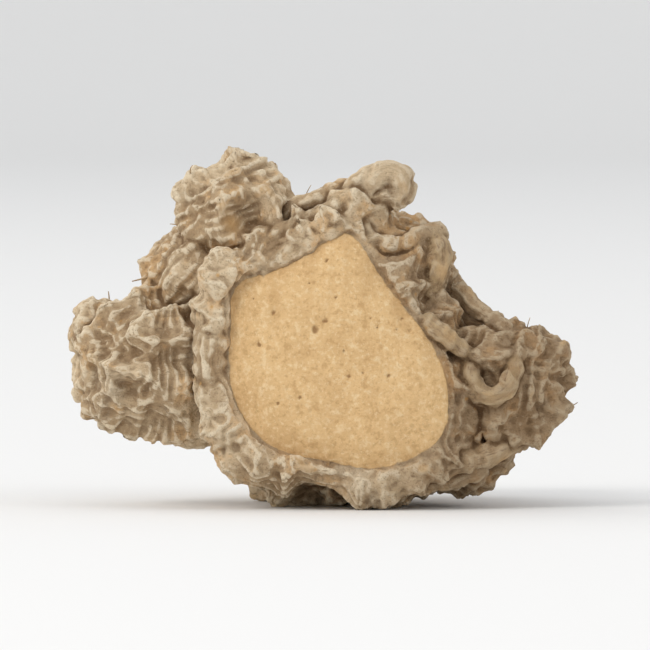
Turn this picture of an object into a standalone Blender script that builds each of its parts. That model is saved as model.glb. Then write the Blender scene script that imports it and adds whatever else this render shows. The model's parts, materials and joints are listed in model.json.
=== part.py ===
"""A dried piece of kencur root, the aromatic ginger Kaempferia galanga.

It is one chunk of a knobby rhizome that was cut across with a knife and then dried.
The starchy flesh bulges at the cut face, and the skin round it has shrunk into folds.
Side knobs, a bud, curled ends of skin and broken root stubs grow from it, all as one piece.

The part lies on the small flat spot at its origin, with the cut face towards -Y.
"""

import math
import random
from typing import NamedTuple

import bmesh
import bpy
import numpy as np
from mathutils import Matrix, Vector, noise

MM = 0.001  # the sizes below are in millimetres, and the finished mesh is scaled to metres

# The face frame: X right, Y up, Z forwards out of the cut face. It looks along -Y of the part,
# leaning back a little. Its middle is here, measured from the middle of the flat spot.
FACE_MIDDLE = (0.7, -4.6, 5.85)
FACE_LEAN = 7.0  # degrees

# Closed outlines in the face frame, as (degrees anticlockwise from the right, radius)
FACE_OUTLINE = (
    (17, 3.4),
    (44, 3.2),
    (68, 3.7),
    (86, 4.85),
    (110, 4.45),
    (130, 4.4),
    (143, 4.95),
    (165, 4.45),
    (201, 4.4),
    (222, 4.4),
    (262, 4.0),
    (298, 4.65),
    (326, 4.9),
    (342, 4.4),
)
GIRTH_OUTLINE = (
    (12, 4.8),
    (35, 5.3),
    (55, 6.0),
    (75, 5.9),
    (92, 6.6),
    (118, 6.2),
    (145, 6.0),
    (185, 5.7),
    (218, 5.5),
    (250, 5.1),
    (285, 5.1),
    (331, 5.7),
)

# The body's profile from the middle of the cut face (0) to the tip at the back (1). Each row
# gives the shares of the face's and the girth's radius, then how far outwards of that and how
# far forwards of the face's edge, and the share of the skin lip's height.
BODY_PROFILE = (
    (0.00, 0.00, 0.00, 0.00, 0.80, 0.0),
    (0.07, 0.40, 0.00, 0.00, 0.72, 0.0),
    (0.14, 0.78, 0.00, 0.00, 0.46, 0.0),
    (0.19, 0.97, 0.00, 0.00, 0.08, 0.0),
    (0.23, 1.00, 0.00, 0.06, -0.12, 0.1),
    (0.27, 1.00, 0.00, 0.45, -0.05, 0.9),
    (0.32, 0.85, 0.15, 0.85, -0.60, 0.8),
    (0.40, 0.35, 0.65, 0.45, -1.80, 0.2),
    (0.49, 0.00, 1.00, 0.00, -3.50, 0.0),
    (0.62, 0.00, 0.99, 0.00, -5.80, 0.0),
    (0.76, 0.00, 0.84, 0.00, -8.20, 0.0),
    (0.87, 0.00, 0.56, 0.00, -10.0, 0.0),
    (0.95, 0.00, 0.26, 0.00, -10.9, 0.0),
    (1.00, 0.00, 0.00, 0.00, -11.2, 0.0),
)
BODY_LENGTH = 11.2
BACK_RISE = 0.9
BODY_SIDES = 160
BODY_ROWS = 110
BODY_RINGS = 8
LIP_HEIGHT = 0.45
SKIN_STARTS = 0.23  # along the profile
SKIN_FADE = 0.07
TIP_FADE = 0.06

# Folds of the dried skin, and the rings that leaves left on it
FOLD_SPACING = 1.75
FOLD_HEIGHT = 0.62
FOLD_STRETCH = 0.62  # under 1 draws the folds out along the root
FOLD_WANDER = 0.6
FOLD_SHARPNESS = 2.3
FINE_FOLD_SHARE = 0.3
LUMP_HEIGHT = 0.5
RING_HEIGHT = 0.34
POLE_FADE = 0.16
PATTERN_STEP = Vector((7.3, 3.1, 5.7))  # from one part's folds to the next part's
PATTERN_SEED = 3


class Knob(NamedTuple):
    """A lump that grows from the body, placed in the face frame."""

    middle: tuple
    grows: tuple
    radius: float
    length: float
    blunt: float  # 1 for an egg, less for a blunter end
    rings: int


class Curl(NamedTuple):
    """A curled end of skin, a pleat or a dried rootlet, placed in the face frame."""

    points: tuple
    radii: tuple


class Scar(NamedTuple):
    """A round scar where a bud or a root broke off, placed in the face frame."""

    middle: tuple
    radius: float
    rim: float


KNOBS = {
    "left_shoulder": Knob((-5.4, 3.3, -3.3), (-0.8, 0.6, 0.2), 2.2, 4.6, 0.8, 3),
    "low_lump": Knob((4.2, -2.8, -3.3), (0.6, -0.5, 0.4), 1.9, 4.4, 0.8, 3),
    "belly": Knob((-0.5, -2.9, -4.6), (0.0, -1.0, 0.1), 3.0, 5.6, 0.8, 2),
    "left_knob": Knob((-6.5, 0.1, -3.4), (-1.0, -0.05, 0.25), 2.9, 7.6, 0.75, 5),
    "left_nub": Knob((-9.2, 1.1, -2.7), (-1.0, 0.3, 0.2), 1.25, 3.2, 0.7, 3),
    "bud": Knob((-4.0, 5.3, -3.0), (-0.35, 0.85, 0.3), 2.15, 5.2, 0.6, 4),
    "right_knob": Knob((5.5, -0.8, -2.9), (0.95, -0.08, 0.3), 2.6, 6.4, 0.75, 4),
    "back_knob": Knob((2.2, 0.3, -9.2), (0.6, 0.0, -0.85), 2.8, 6.8, 0.75, 5),
    "back_bud": Knob((-2.4, 1.6, -10.2), (-0.5, 0.4, -0.9), 1.6, 4.2, 0.8, 3),
}
KNOB_SIDES = 84
KNOB_ROWS = 56
KNOB_FULL_RELIEF = 2.4  # a thinner knob has shallower folds in proportion

CURLS = {
    "hook": Curl(
        ((-0.3, 5.7, -1.6), (0.6, 6.6, -1.2), (1.4, 7.25, -1.0), (2.2, 7.2, -0.9), (2.3, 6.6, -1.0),
         (1.5, 6.3, -1.2), (0.9, 5.6, -1.5)),
        (0.7, 0.62, 0.55, 0.5, 0.46, 0.46, 0.42),
    ),
    "left_roll": Curl(
        ((-3.6, 4.0, -0.9), (-4.6, 2.75, -0.3), (-5.02, 0.9, -0.05), (-5.02, -1.0, -0.1),
         (-4.6, -2.65, -0.4), (-3.65, -3.8, -0.9)),
        (0.5, 0.6, 0.66, 0.62, 0.55, 0.45),
    ),
    "pleat_near": Curl(
        ((-3.75, 3.3, -0.45), (-2.45, 3.9, -0.1), (-1.1, 4.65, 0.0), (0.2, 5.25, -0.2)),
        (0.36, 0.4, 0.4, 0.36),
    ),
    "pleat_middle": Curl(
        ((-3.6, 4.2, -0.95), (-2.4, 4.85, -0.55), (-1.1, 5.5, -0.45), (0.2, 6.1, -0.75)),
        (0.38, 0.42, 0.42, 0.38),
    ),
    "pleat_far": Curl(
        ((-3.1, 5.1, -1.8), (-1.9, 5.9, -1.4), (-0.7, 6.5, -1.3), (0.3, 6.8, -1.5)),
        (0.4, 0.45, 0.42, 0.4),
    ),
    "sagging_rim": Curl(
        ((0.5, 5.4, -0.8), (1.4, 4.6, -0.6), (2.4, 4.6, -0.9), (3.2, 5.0, -1.5), (3.8, 5.0, -2.1)),
        (0.36, 0.34, 0.36, 0.4, 0.45),
    ),
    "flap": Curl(
        ((3.3, 5.0, -1.9), (3.7, 4.3, -1.3), (3.65, 3.5, -1.0), (3.3, 2.6, -1.1)),
        (0.5, 0.48, 0.42, 0.34),
    ),
    "right_ridge": Curl(
        ((3.2, 1.6, -0.4), (3.8, 1.1, -0.05), (4.5, 0.55, -0.2), (5.0, 0.2, -0.7)),
        (0.32, 0.36, 0.34, 0.32),
    ),
    "right_rootlet": Curl(
        ((4.3, 2.9, -2.3), (5.0, 2.3, -1.9), (5.8, 1.7, -1.6), (6.5, 0.9, -1.0)),
        (0.42, 0.4, 0.38, 0.36),
    ),
    "right_curl": Curl(
        ((5.1, 0.1, -0.9), (5.1, -0.7, -0.35), (5.6, -1.4, -0.2), (6.3, -1.2, -0.25),
         (6.7, -0.4, -0.5), (6.6, 0.4, -0.9)),
        (0.36, 0.38, 0.4, 0.4, 0.38, 0.36),
    ),
    "low_ruffle": Curl(
        ((2.6, -4.4, -1.0), (3.8, -4.1, -0.9), (5.0, -3.8, -1.1), (6.2, -3.4, -1.5), (7.0, -2.7, -2.1)),
        (0.42, 0.46, 0.45, 0.42, 0.38),
    ),
    "low_ruffle_under": Curl(
        ((1.4, -4.7, -1.5), (2.8, -4.7, -1.5), (4.2, -4.5, -1.7), (5.6, -4.0, -2.2)),
        (0.4, 0.44, 0.44, 0.4),
    ),
}

SCARS = (
    Scar((-3.7, 5.6, -0.7), 0.95, 0.38),
    Scar((-8.0, -0.9, -0.8), 0.8, 0.3),
    Scar((-1.2, 6.6, -5.2), 0.9, 0.35),
    Scar((2.2, 5.2, -6.0), 0.75, 0.3),
    Scar((-5.6, -2.2, -6.8), 0.8, 0.3),
    Scar((4.4, -3.6, -5.6), 0.8, 0.3),
    Scar((0.2, 1.9, -11.6), 1.2, 0.4),
    Scar((5.0, 3.2, -10.4), 0.8, 0.3),
)
SCAR_RIM_WIDTH = 0.26
SCAR_DIP = 0.7  # against the rim's height
SCAR_DIP_WIDTH = 0.6  # against the rim's radius

# Broken root stubs, scattered by a seeded rule over the sides and the underside
STUB_COUNT = 12
STUB_RADIUS = (0.34, 0.5)
STUB_LENGTH = (0.4, 1.0)
STUB_SUNK = 1.0
STUB_APART = 2.6
STUB_BEHIND = 2.4  # at least this far behind the face
STUB_BELOW = 1.5  # and below this height over the face's middle
STUB_WITHIN = 7.5  # of the middle, sideways
STUB_SLOPE = 0.2  # it points no further up than this
STUB_END = 0.25
STUB_BEND = 0.3
STUB_SEED = 5

SKIN_VOXEL = 0.13
MOST_TRIANGLES = 11_400
FLAT_SPOT_BLOCK = 40


def clear_scene():
    """Remove whatever the startup file holds."""
    for obj in list(bpy.data.objects):
        bpy.data.objects.remove(obj, do_unlink=True)


def collection_named(name):
    """A new collection in the scene."""
    made = bpy.data.collections.new(name)
    bpy.context.scene.collection.children.link(made)
    return made


def skin_material():
    """The dull grey-brown skin."""
    made = bpy.data.materials.new("dried_root_skin")
    made.use_nodes = True
    shader = made.node_tree.nodes["Principled BSDF"]
    shader.inputs["Base Color"].default_value = (0.36, 0.26, 0.165, 1.0)
    shader.inputs["Roughness"].default_value = 0.85
    shader.inputs["Metallic"].default_value = 0.0
    return made


def smooth_curve(x, knots):
    """Values at x of the smooth curve through (place, value) knots in rising order."""
    places, values = np.array(knots, float).T
    slopes = np.gradient(values, places)
    left = np.clip(np.searchsorted(places, x, side="right") - 1, 0, len(places) - 2)
    span = places[left + 1] - places[left]
    u = (x - places[left]) / span
    return (
        (1 + 2 * u) * (1 - u) ** 2 * values[left]
        + u * (1 - u) ** 2 * span * slopes[left]
        + u**2 * (3 - 2 * u) * values[left + 1]
        + u**2 * (u - 1) * span * slopes[left + 1]
    )


def closed_outline(angle, outline):
    """Radius of a closed outline at these angles, which are in radians."""
    knots = [(degrees + turn, radius) for turn in (-360, 0, 360) for degrees, radius in outline]
    return smooth_curve(np.degrees(angle) % 360, knots)


def sphere_mesh(sides, rows):
    """A unit sphere with its poles on Z, ready to be shaped."""
    made = bmesh.new()
    bmesh.ops.create_uvsphere(made, u_segments=sides, v_segments=rows, radius=1.0)
    return made


def turned_places(mesh):
    """Each vertex's angle round Z, and its share of the way from the +Z pole to the other."""
    unit = np.array([vertex.co for vertex in mesh.verts])
    return np.arctan2(unit[:, 1], unit[:, 0]), np.arccos(np.clip(unit[:, 2], -1, 1)) / math.pi


def place(mesh, points):
    """Move the vertices to these points."""
    for vertex, point in zip(mesh.verts, points):
        vertex.co = point
    mesh.normal_update()


def crest_at(point):
    """1 on a crest and 0 in the hollows between crests, at a point of the noise pattern."""
    return max(0.0, 1 - FOLD_SHARPNESS * abs(noise.noise(point)))


def folds(point, seed):
    """Height of the shrunken skin at a point: thin crests that wander over lumps."""
    stretched = Vector((point[0], point[1], point[2] * FOLD_STRETCH)) / FOLD_SPACING
    stretched += seed * PATTERN_STEP
    wander = stretched + FOLD_WANDER * noise.noise_vector(stretched * 0.7)
    crest = crest_at(wander) ** 1.2
    fine = FINE_FOLD_SHARE * (0.7 + crest) * (crest_at(wander * 1.9) - 0.4)
    lump = noise.noise(stretched * 0.4)
    return FOLD_HEIGHT * (crest - 0.45 + fine) + LUMP_HEIGHT * lump


def leaf_rings(along, angle, count):
    """Height of the leaf scars that ring a growing root: each rises slowly and drops steeply."""
    wobble = 0.22 * np.sin(2 * angle + along * 9) + 0.12 * np.sin(5 * angle + 1.3)
    share = (along * count + wobble) % 1.0
    return RING_HEIGHT * (share**2 * np.clip((1 - share) * 5, 0, 1) - 0.2)


def scars(points):
    """Height of the round scars at these points of the face frame."""
    height = np.zeros(len(points))
    for scar in SCARS:
        away = np.linalg.norm(points - np.array(scar.middle), axis=1)
        ring = np.exp(-(((away - scar.radius) / SCAR_RIM_WIDTH) ** 2))
        dip = SCAR_DIP * np.exp(-((away / (SCAR_DIP_WIDTH * scar.radius)) ** 2))
        height += scar.rim * (ring - dip)
    return height


def raise_skin(mesh, heights):
    """Move each vertex along its normal by its height."""
    for vertex, height in zip(mesh.verts, heights):
        vertex.co += vertex.normal * height
    mesh.normal_update()


def as_object(mesh, name, group):
    """Make the bmesh an object in this collection."""
    data = bpy.data.meshes.new(name)
    mesh.to_mesh(data)
    mesh.free()
    made = bpy.data.objects.new(name, data)
    group.objects.link(made)
    return made


def cut_body(group):
    """The chunk itself: domed cut face, rolled skin lip, folded side and the growing tip behind."""
    mesh = sphere_mesh(BODY_SIDES, BODY_ROWS)
    angle, along = turned_places(mesh)
    face = closed_outline(angle, FACE_OUTLINE)
    girth = closed_outline(angle, GIRTH_OUTLINE)
    of_face, of_girth, outwards, forwards, of_lip = (
        smooth_curve(along, [(row[0], row[column]) for row in BODY_PROFILE]) for column in range(1, 6)
    )
    # The skin's lip stands highest on the left and waves as it goes round
    waves = 0.3 * np.sin(3 * angle + 0.6) + 0.35 * np.sin(7 * angle + 2.0)
    lip = LIP_HEIGHT * (0.55 - 0.6 * np.cos(angle) + waves)
    radius = of_face * face + of_girth * girth + outwards
    height = forwards + of_lip * lip
    rise = BACK_RISE * np.clip(-height / BODY_LENGTH, 0, 1) ** 2
    points = np.column_stack((radius * np.cos(angle), radius * np.sin(angle) + rise, height))
    place(mesh, points)
    on_skin = np.clip((along - SKIN_STARTS) / SKIN_FADE, 0, 1) * np.clip((1 - along) / TIP_FADE, 0, 1)
    relief = np.array([folds(point, 1) for point in points])
    raise_skin(mesh, on_skin * (relief + leaf_rings(along, angle, BODY_RINGS) + scars(points)))
    return as_object(mesh, "kencur_root", group)


def knob(name, group):
    """A side knob: an egg with leaf rings and folds, its tip pointing the way it grows."""
    shape = KNOBS[name]
    mesh = sphere_mesh(KNOB_SIDES, KNOB_ROWS)
    angle, along = turned_places(mesh)
    wide = shape.radius * np.sin(along * math.pi) ** shape.blunt
    level = np.cos(along * math.pi)
    tall = 0.5 * shape.length * np.sign(level) * np.abs(level) ** shape.blunt
    local = np.column_stack((wide * np.cos(angle), wide * np.sin(angle), tall))
    turn = np.array(Vector(shape.grows).to_track_quat("Z", "Y").to_matrix())
    points = local @ turn.T + np.array(shape.middle)
    place(mesh, points)
    seed = 2 + list(KNOBS).index(name)
    relief = np.array([folds(point, seed) for point in local])
    rings = leaf_rings(along * 2, angle, shape.rings)
    heights = min(1.0, shape.radius / KNOB_FULL_RELIEF) * (relief + rings) + scars(points)
    raise_skin(mesh, heights * np.clip(np.sin(along * math.pi) / POLE_FADE, 0, 1))
    return as_object(mesh, name, group)


def tube(name, points, radii, group):
    """A closed tube through these points, with its own radius at each."""
    curve = bpy.data.curves.new(name, "CURVE")
    curve.dimensions = "3D"
    curve.bevel_depth = 1.0
    curve.bevel_resolution = 2
    curve.resolution_u = 5
    curve.use_fill_caps = True
    spline = curve.splines.new("BEZIER")
    spline.bezier_points.add(len(points) - 1)
    for knot, point, radius in zip(spline.bezier_points, points, radii):
        knot.co = point
        knot.radius = radius
        knot.handle_left_type = "AUTO"
        knot.handle_right_type = "AUTO"
    drawn = bpy.data.objects.new(name + "_line", curve)
    group.objects.link(drawn)
    bpy.context.view_layer.update()
    evaluated = drawn.evaluated_get(bpy.context.evaluated_depsgraph_get())
    mesh = bmesh.new()
    mesh.from_mesh(bpy.data.meshes.new_from_object(evaluated))
    bmesh.ops.remove_doubles(mesh, verts=mesh.verts, dist=1e-4)
    bmesh.ops.recalc_face_normals(mesh, faces=mesh.faces)
    bpy.data.objects.remove(drawn)
    return as_object(mesh, name, group)


def root_stubs(hosts, group):
    """Broken roots standing on the skin of these objects, at the sides and underneath."""
    rule = random.Random(STUB_SEED)
    skin = [(vertex.co.copy(), vertex.normal.copy()) for host in hosts for vertex in host.data.vertices]
    rule.shuffle(skin)
    grown = []
    for foot, out in skin:
        hidden = foot.z < -STUB_BEHIND and foot.y < STUB_BELOW and abs(foot.x) < STUB_WITHIN
        if len(grown) == STUB_COUNT or not hidden or out.y > STUB_SLOPE:
            continue
        if any((foot - other).length < STUB_APART for other in grown):
            continue
        thick = rule.uniform(*STUB_RADIUS)
        tip = foot + out * rule.uniform(*STUB_LENGTH)
        aside = Vector([rule.uniform(-STUB_BEND, STUB_BEND) for _ in range(3)])
        bend = tip + out * STUB_END + aside
        radii = (thick * 1.4, thick, thick * 0.8)
        tube(f"stub_{len(grown)}", (foot - out * STUB_SUNK, tip, bend), radii, group)
        grown.append(foot)


def fuse(body, growths):
    """Join everything that grows from the body to it, in one solid."""
    union = body.modifiers.new("grown_together", "BOOLEAN")
    union.operation = "UNION"
    union.operand_type = "COLLECTION"
    union.collection = growths
    union.solver = "MANIFOLD"
    apply_modifiers(body)
    for growth in list(growths.objects):
        bpy.data.objects.remove(growth)
    bpy.data.collections.remove(growths)


def even_out(body):
    """Rebuild the joined skin in small even faces, which blends each growth into its neighbour."""
    rebuilt = body.modifiers.new("even_skin", "REMESH")
    rebuilt.mode = "VOXEL"
    rebuilt.voxel_size = SKIN_VOXEL
    apply_modifiers(body)


def apply_modifiers(obj):
    """Replace the object's mesh with what its modifiers make of it."""
    bpy.context.view_layer.update()
    evaluated = obj.evaluated_get(bpy.context.evaluated_depsgraph_get())
    made = bpy.data.meshes.new_from_object(evaluated)
    obj.modifiers.clear()
    obj.data = made


def triangles_in(obj):
    """How many triangles the object's mesh holds."""
    obj.data.calc_loop_triangles()
    return len(obj.data.loop_triangles)


def thin_out(body):
    """Fewer triangles, kept where the skin is folded."""
    thinner = body.modifiers.new("fewer_triangles", "DECIMATE")
    thinner.ratio = min(1.0, MOST_TRIANGLES / triangles_in(body))
    apply_modifiers(body)


def settle(body):
    """Turn the root from the face frame to its resting place, its lowest fold just below Z = 0."""
    body.data.transform(Matrix.Rotation(math.radians(90 - FACE_LEAN), 4, "X"))
    body.data.transform(Matrix.Translation(FACE_MIDDLE))


def flatten_underside(body, helpers):
    """Cut the small flat spot that the root rests on, at Z = 0."""
    mesh = bmesh.new()
    bmesh.ops.create_cube(mesh, size=FLAT_SPOT_BLOCK)
    block = as_object(mesh, "surface_below", helpers)
    block.location.z = -FLAT_SPOT_BLOCK / 2
    block.hide_render = True
    block.display_type = "WIRE"
    cut = body.modifiers.new("flat_spot", "BOOLEAN")
    cut.operation = "DIFFERENCE"
    cut.object = block
    cut.solver = "MANIFOLD"
    apply_modifiers(body)
    bpy.data.objects.remove(block)


def main():
    """Model the root."""
    clear_scene()
    noise.seed_set(PATTERN_SEED)
    root = collection_named("dried_kencur_root")
    growths = collection_named("growths")
    helpers = collection_named("helpers")
    body = cut_body(root)
    knobs = [knob(name, growths) for name in KNOBS]
    for name, curl in CURLS.items():
        tube(name, curl.points, curl.radii, growths)
    root_stubs([body, *knobs], growths)
    fuse(body, growths)
    even_out(body)
    thin_out(body)
    settle(body)
    flatten_underside(body, helpers)
    body.data.transform(Matrix.Scale(MM, 4))
    body.data.materials.clear()
    body.data.materials.append(skin_material())
    body.data.shade_smooth()


if __name__ == "__main__":
    main()
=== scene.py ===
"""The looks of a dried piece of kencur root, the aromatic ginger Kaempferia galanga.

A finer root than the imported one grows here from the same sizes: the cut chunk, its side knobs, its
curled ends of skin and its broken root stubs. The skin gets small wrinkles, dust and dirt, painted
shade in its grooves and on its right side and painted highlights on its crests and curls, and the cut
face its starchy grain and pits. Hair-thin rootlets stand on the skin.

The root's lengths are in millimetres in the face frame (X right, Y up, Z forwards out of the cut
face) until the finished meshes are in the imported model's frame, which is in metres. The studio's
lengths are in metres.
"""

import json
import logging
import math
import random
from collections.abc import Iterator, Sequence
from contextlib import contextmanager
from dataclasses import dataclass
from enum import Enum
from functools import cached_property

import bmesh
import bpy
import numpy as np
from mathutils import Matrix, Vector, kdtree, noise

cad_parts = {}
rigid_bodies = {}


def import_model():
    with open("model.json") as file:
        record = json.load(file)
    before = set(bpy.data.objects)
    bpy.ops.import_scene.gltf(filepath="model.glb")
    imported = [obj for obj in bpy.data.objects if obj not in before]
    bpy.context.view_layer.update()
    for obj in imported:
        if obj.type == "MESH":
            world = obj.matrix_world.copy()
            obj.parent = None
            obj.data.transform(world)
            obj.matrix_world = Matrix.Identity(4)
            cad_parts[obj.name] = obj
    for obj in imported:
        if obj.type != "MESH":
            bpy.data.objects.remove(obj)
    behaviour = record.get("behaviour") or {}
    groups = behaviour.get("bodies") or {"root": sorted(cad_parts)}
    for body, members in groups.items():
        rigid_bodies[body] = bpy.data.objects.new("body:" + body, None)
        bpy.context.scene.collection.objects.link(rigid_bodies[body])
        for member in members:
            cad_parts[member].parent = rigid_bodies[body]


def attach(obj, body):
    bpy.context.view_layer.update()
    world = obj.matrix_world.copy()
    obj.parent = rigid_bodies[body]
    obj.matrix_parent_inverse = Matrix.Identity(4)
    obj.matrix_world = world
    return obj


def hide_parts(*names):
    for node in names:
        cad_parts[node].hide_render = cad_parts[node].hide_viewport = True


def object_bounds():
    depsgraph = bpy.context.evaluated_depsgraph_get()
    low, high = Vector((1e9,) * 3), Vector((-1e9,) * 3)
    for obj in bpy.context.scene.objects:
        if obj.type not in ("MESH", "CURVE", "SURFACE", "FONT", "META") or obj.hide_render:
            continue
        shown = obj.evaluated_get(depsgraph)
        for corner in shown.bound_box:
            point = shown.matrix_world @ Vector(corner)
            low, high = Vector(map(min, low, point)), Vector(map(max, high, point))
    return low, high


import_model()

CAD_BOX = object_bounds()
CAD_NODE = "kencur_root"
BODY = "root"
MM = 0.001

Point = tuple[float, float, float]
Pairs = Sequence[tuple[float, float]]
Waves = Sequence[tuple[float, float, float, float]]
log = logging.getLogger("kencur_root")


class Quality(Enum):
    """How finely the root is made: a rough one while trying things, or the finished one."""

    ROUGH = "rough"
    FINISHED = "finished"

    @property
    def detail(self) -> float:
        """How many times finer a growth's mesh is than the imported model's."""
        return 1.0 if self is Quality.ROUGH else 2.3

    @property
    def voxel(self) -> float:
        """Edge of the small cells that the fused skin is rebuilt in."""
        return 0.15 if self is Quality.ROUGH else 0.068


def smooth_curve(x: np.ndarray, knots: Pairs) -> np.ndarray:
    """Read the smooth curve through some knots.

    Args:
        x: places to read it at.
        knots: (place, value) pairs in rising order.

    Returns:
        The curve's value at each place.
    """
    places, values = np.array(knots, float).T
    slopes = np.gradient(values, places)
    left = np.clip(np.searchsorted(places, x, side="right") - 1, 0, len(places) - 2)
    span = places[left + 1] - places[left]
    u = (x - places[left]) / span
    return (
        (1 + 2 * u) * (1 - u) ** 2 * values[left]
        + u * (1 - u) ** 2 * span * slopes[left]
        + u**2 * (3 - 2 * u) * values[left + 1]
        + u**2 * (u - 1) * span * slopes[left + 1]
    )


def closed_outline(angle: np.ndarray, outline: Pairs) -> np.ndarray:
    """The radius at each angle, in radians, of an outline given as pairs of degrees and radius."""
    knots = [(degrees + turn, radius) for turn in (-360, 0, 360) for degrees, radius in outline]
    return smooth_curve(np.degrees(angle) % 360, knots)


def ease(x: np.ndarray, start: float, end: float) -> np.ndarray:
    """A smooth step from 0 at start to 1 at end."""
    share = np.clip((x - start) / (end - start), 0, 1)
    return share * share * (3 - 2 * share)


def value_noise(places: np.ndarray) -> np.ndarray:
    """Soft noise from -1 to 1 at each row of places."""
    return np.fromiter(map(noise.noise, places.tolist()), float, len(places))


def vector_noise(places: np.ndarray) -> np.ndarray:
    """Three soft noises at each row of places."""
    drawn = [vector.to_tuple() for vector in map(noise.noise_vector, places.tolist())]
    return np.array(drawn).reshape(-1, 3)


def layered_noise(places: np.ndarray, layers: Pairs, start: np.ndarray | float = 0.0) -> np.ndarray:
    """Soft noises added to a start, each given as its size and how far it reaches."""
    return sum((far * value_noise(places / size) for size, far in layers), start)


def waves_round(angle: np.ndarray, along: np.ndarray, waves: Waves) -> np.ndarray:
    """The sum of waves, each with a height, how often it goes round, its twist along and its shift."""
    return sum(high * np.sin(turns * angle + twist * along + shift) for high, turns, twist, shift in waves)


def vertex_rows(mesh: bpy.types.Mesh, what: str = "co") -> np.ndarray:
    """Read a vector of each vertex.

    Args:
        mesh: the mesh.
        what: "co" for the places or "normal" for the normals.

    Returns:
        One row a vertex.
    """
    rows = np.empty(len(mesh.vertices) * 3, np.float32)
    mesh.vertices.foreach_get(what, rows)
    return rows.reshape(-1, 3).astype(float)


def set_places(mesh: bpy.types.Mesh, places: np.ndarray) -> None:
    """Move the vertices to these places."""
    mesh.vertices.foreach_set("co", places.astype(np.float32).ravel())
    mesh.update()


def as_object(data: bpy.types.ID, name: str, group: bpy.types.Collection) -> bpy.types.Object:
    """Put a mesh, curve, light or camera into a collection.

    Args:
        data: what the object shows.
        name: the object's name.
        group: the collection.

    Returns:
        The object.
    """
    made = bpy.data.objects.new(name, data)
    group.objects.link(made)
    return made


def kept_mesh(built: bmesh.types.BMesh, name: str) -> bpy.types.Mesh:
    """Keep what was built in bmesh as a mesh.

    Args:
        built: what was built, which is freed.
        name: the mesh's name.

    Returns:
        The mesh.
    """
    mesh = bpy.data.meshes.new(name)
    built.to_mesh(mesh)
    built.free()
    return mesh


def evaluated_mesh(obj: bpy.types.Object) -> bpy.types.Mesh:
    """A new mesh of what the object's modifiers, or its curve, make."""
    bpy.context.view_layer.update()
    return bpy.data.meshes.new_from_object(obj.evaluated_get(bpy.context.evaluated_depsgraph_get()))


def apply_modifier(obj: bpy.types.Object, kind: str, **settings: object) -> None:
    """Add one modifier and keep what it makes as the object's mesh.

    Args:
        obj: the object.
        kind: the modifier's type.
        settings: its settings by name.
    """
    added = obj.modifiers.new(kind.lower(), kind)
    for name, value in settings.items():
        setattr(added, name, value)
    made = evaluated_mesh(obj)
    obj.modifiers.clear()
    obj.data = made


@contextmanager
def workbench(name: str) -> Iterator[bpy.types.Collection]:
    """Lend a collection that is cleared away with all it still holds.

    Args:
        name: the collection's name.

    Yields:
        The collection.
    """
    group = bpy.data.collections.new(name)
    bpy.context.scene.collection.children.link(group)
    yield group
    for left in list(group.objects):
        bpy.data.objects.remove(left)
    bpy.data.collections.remove(group)


def packed_sphere(name: str, sides: int, rows: int) -> bpy.types.Mesh:
    """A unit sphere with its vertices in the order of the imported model's.

    Args:
        name: the mesh's name.
        sides: vertices round it.
        rows: rows of faces from pole to pole.

    Returns:
        The mesh.
    """
    sphere = bmesh.new()
    bmesh.ops.create_uvsphere(sphere, u_segments=sides, v_segments=rows, radius=1.0)
    return kept_mesh(sphere, name)


def ring_faces(first: int, rings: int, sides: int) -> list[list[int]]:
    """Join rings of vertices with four-sided faces.

    Args:
        first: index of the first ring's first vertex.
        rings: how many rings there are.
        sides: vertices in each ring.

    Returns:
        The corners of each face.
    """
    faces = []
    for low in range(first, first + (rings - 1) * sides, sides):
        for side in range(sides):
            high, beside = low + sides, (side + 1) % sides
            faces.append([low + side, high + side, high + beside, low + beside])
    return faces


def fine_sphere(name: str, sides: int, rows: int) -> bpy.types.Mesh:
    """A unit sphere with its poles on Z.

    Args:
        name: the mesh's name.
        sides: vertices round it.
        rows: rows of faces from pole to pole.

    Returns:
        The mesh.
    """
    turns = np.arange(sides) * math.tau / sides
    falls = np.arange(1, rows)[:, None] * math.pi / rows
    level = np.cos(falls) + 0 * turns
    rings = np.stack((np.sin(falls) * np.cos(turns), np.sin(falls) * np.sin(turns), level), 2)
    points = [(0, 0, 1), *rings.reshape(-1, 3).tolist(), (0, 0, -1)]
    top, last, bottom = 1, 1 + (rows - 2) * sides, len(points) - 1
    steps = [(side, (side + 1) % sides) for side in range(sides)]
    faces = [[0, top + here, top + beside] for here, beside in steps]
    faces += ring_faces(top, rows - 1, sides)
    faces += [[last + here, bottom, last + beside] for here, beside in steps]
    mesh = bpy.data.meshes.new(name)
    mesh.from_pydata(points, [], faces)
    return mesh


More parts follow.
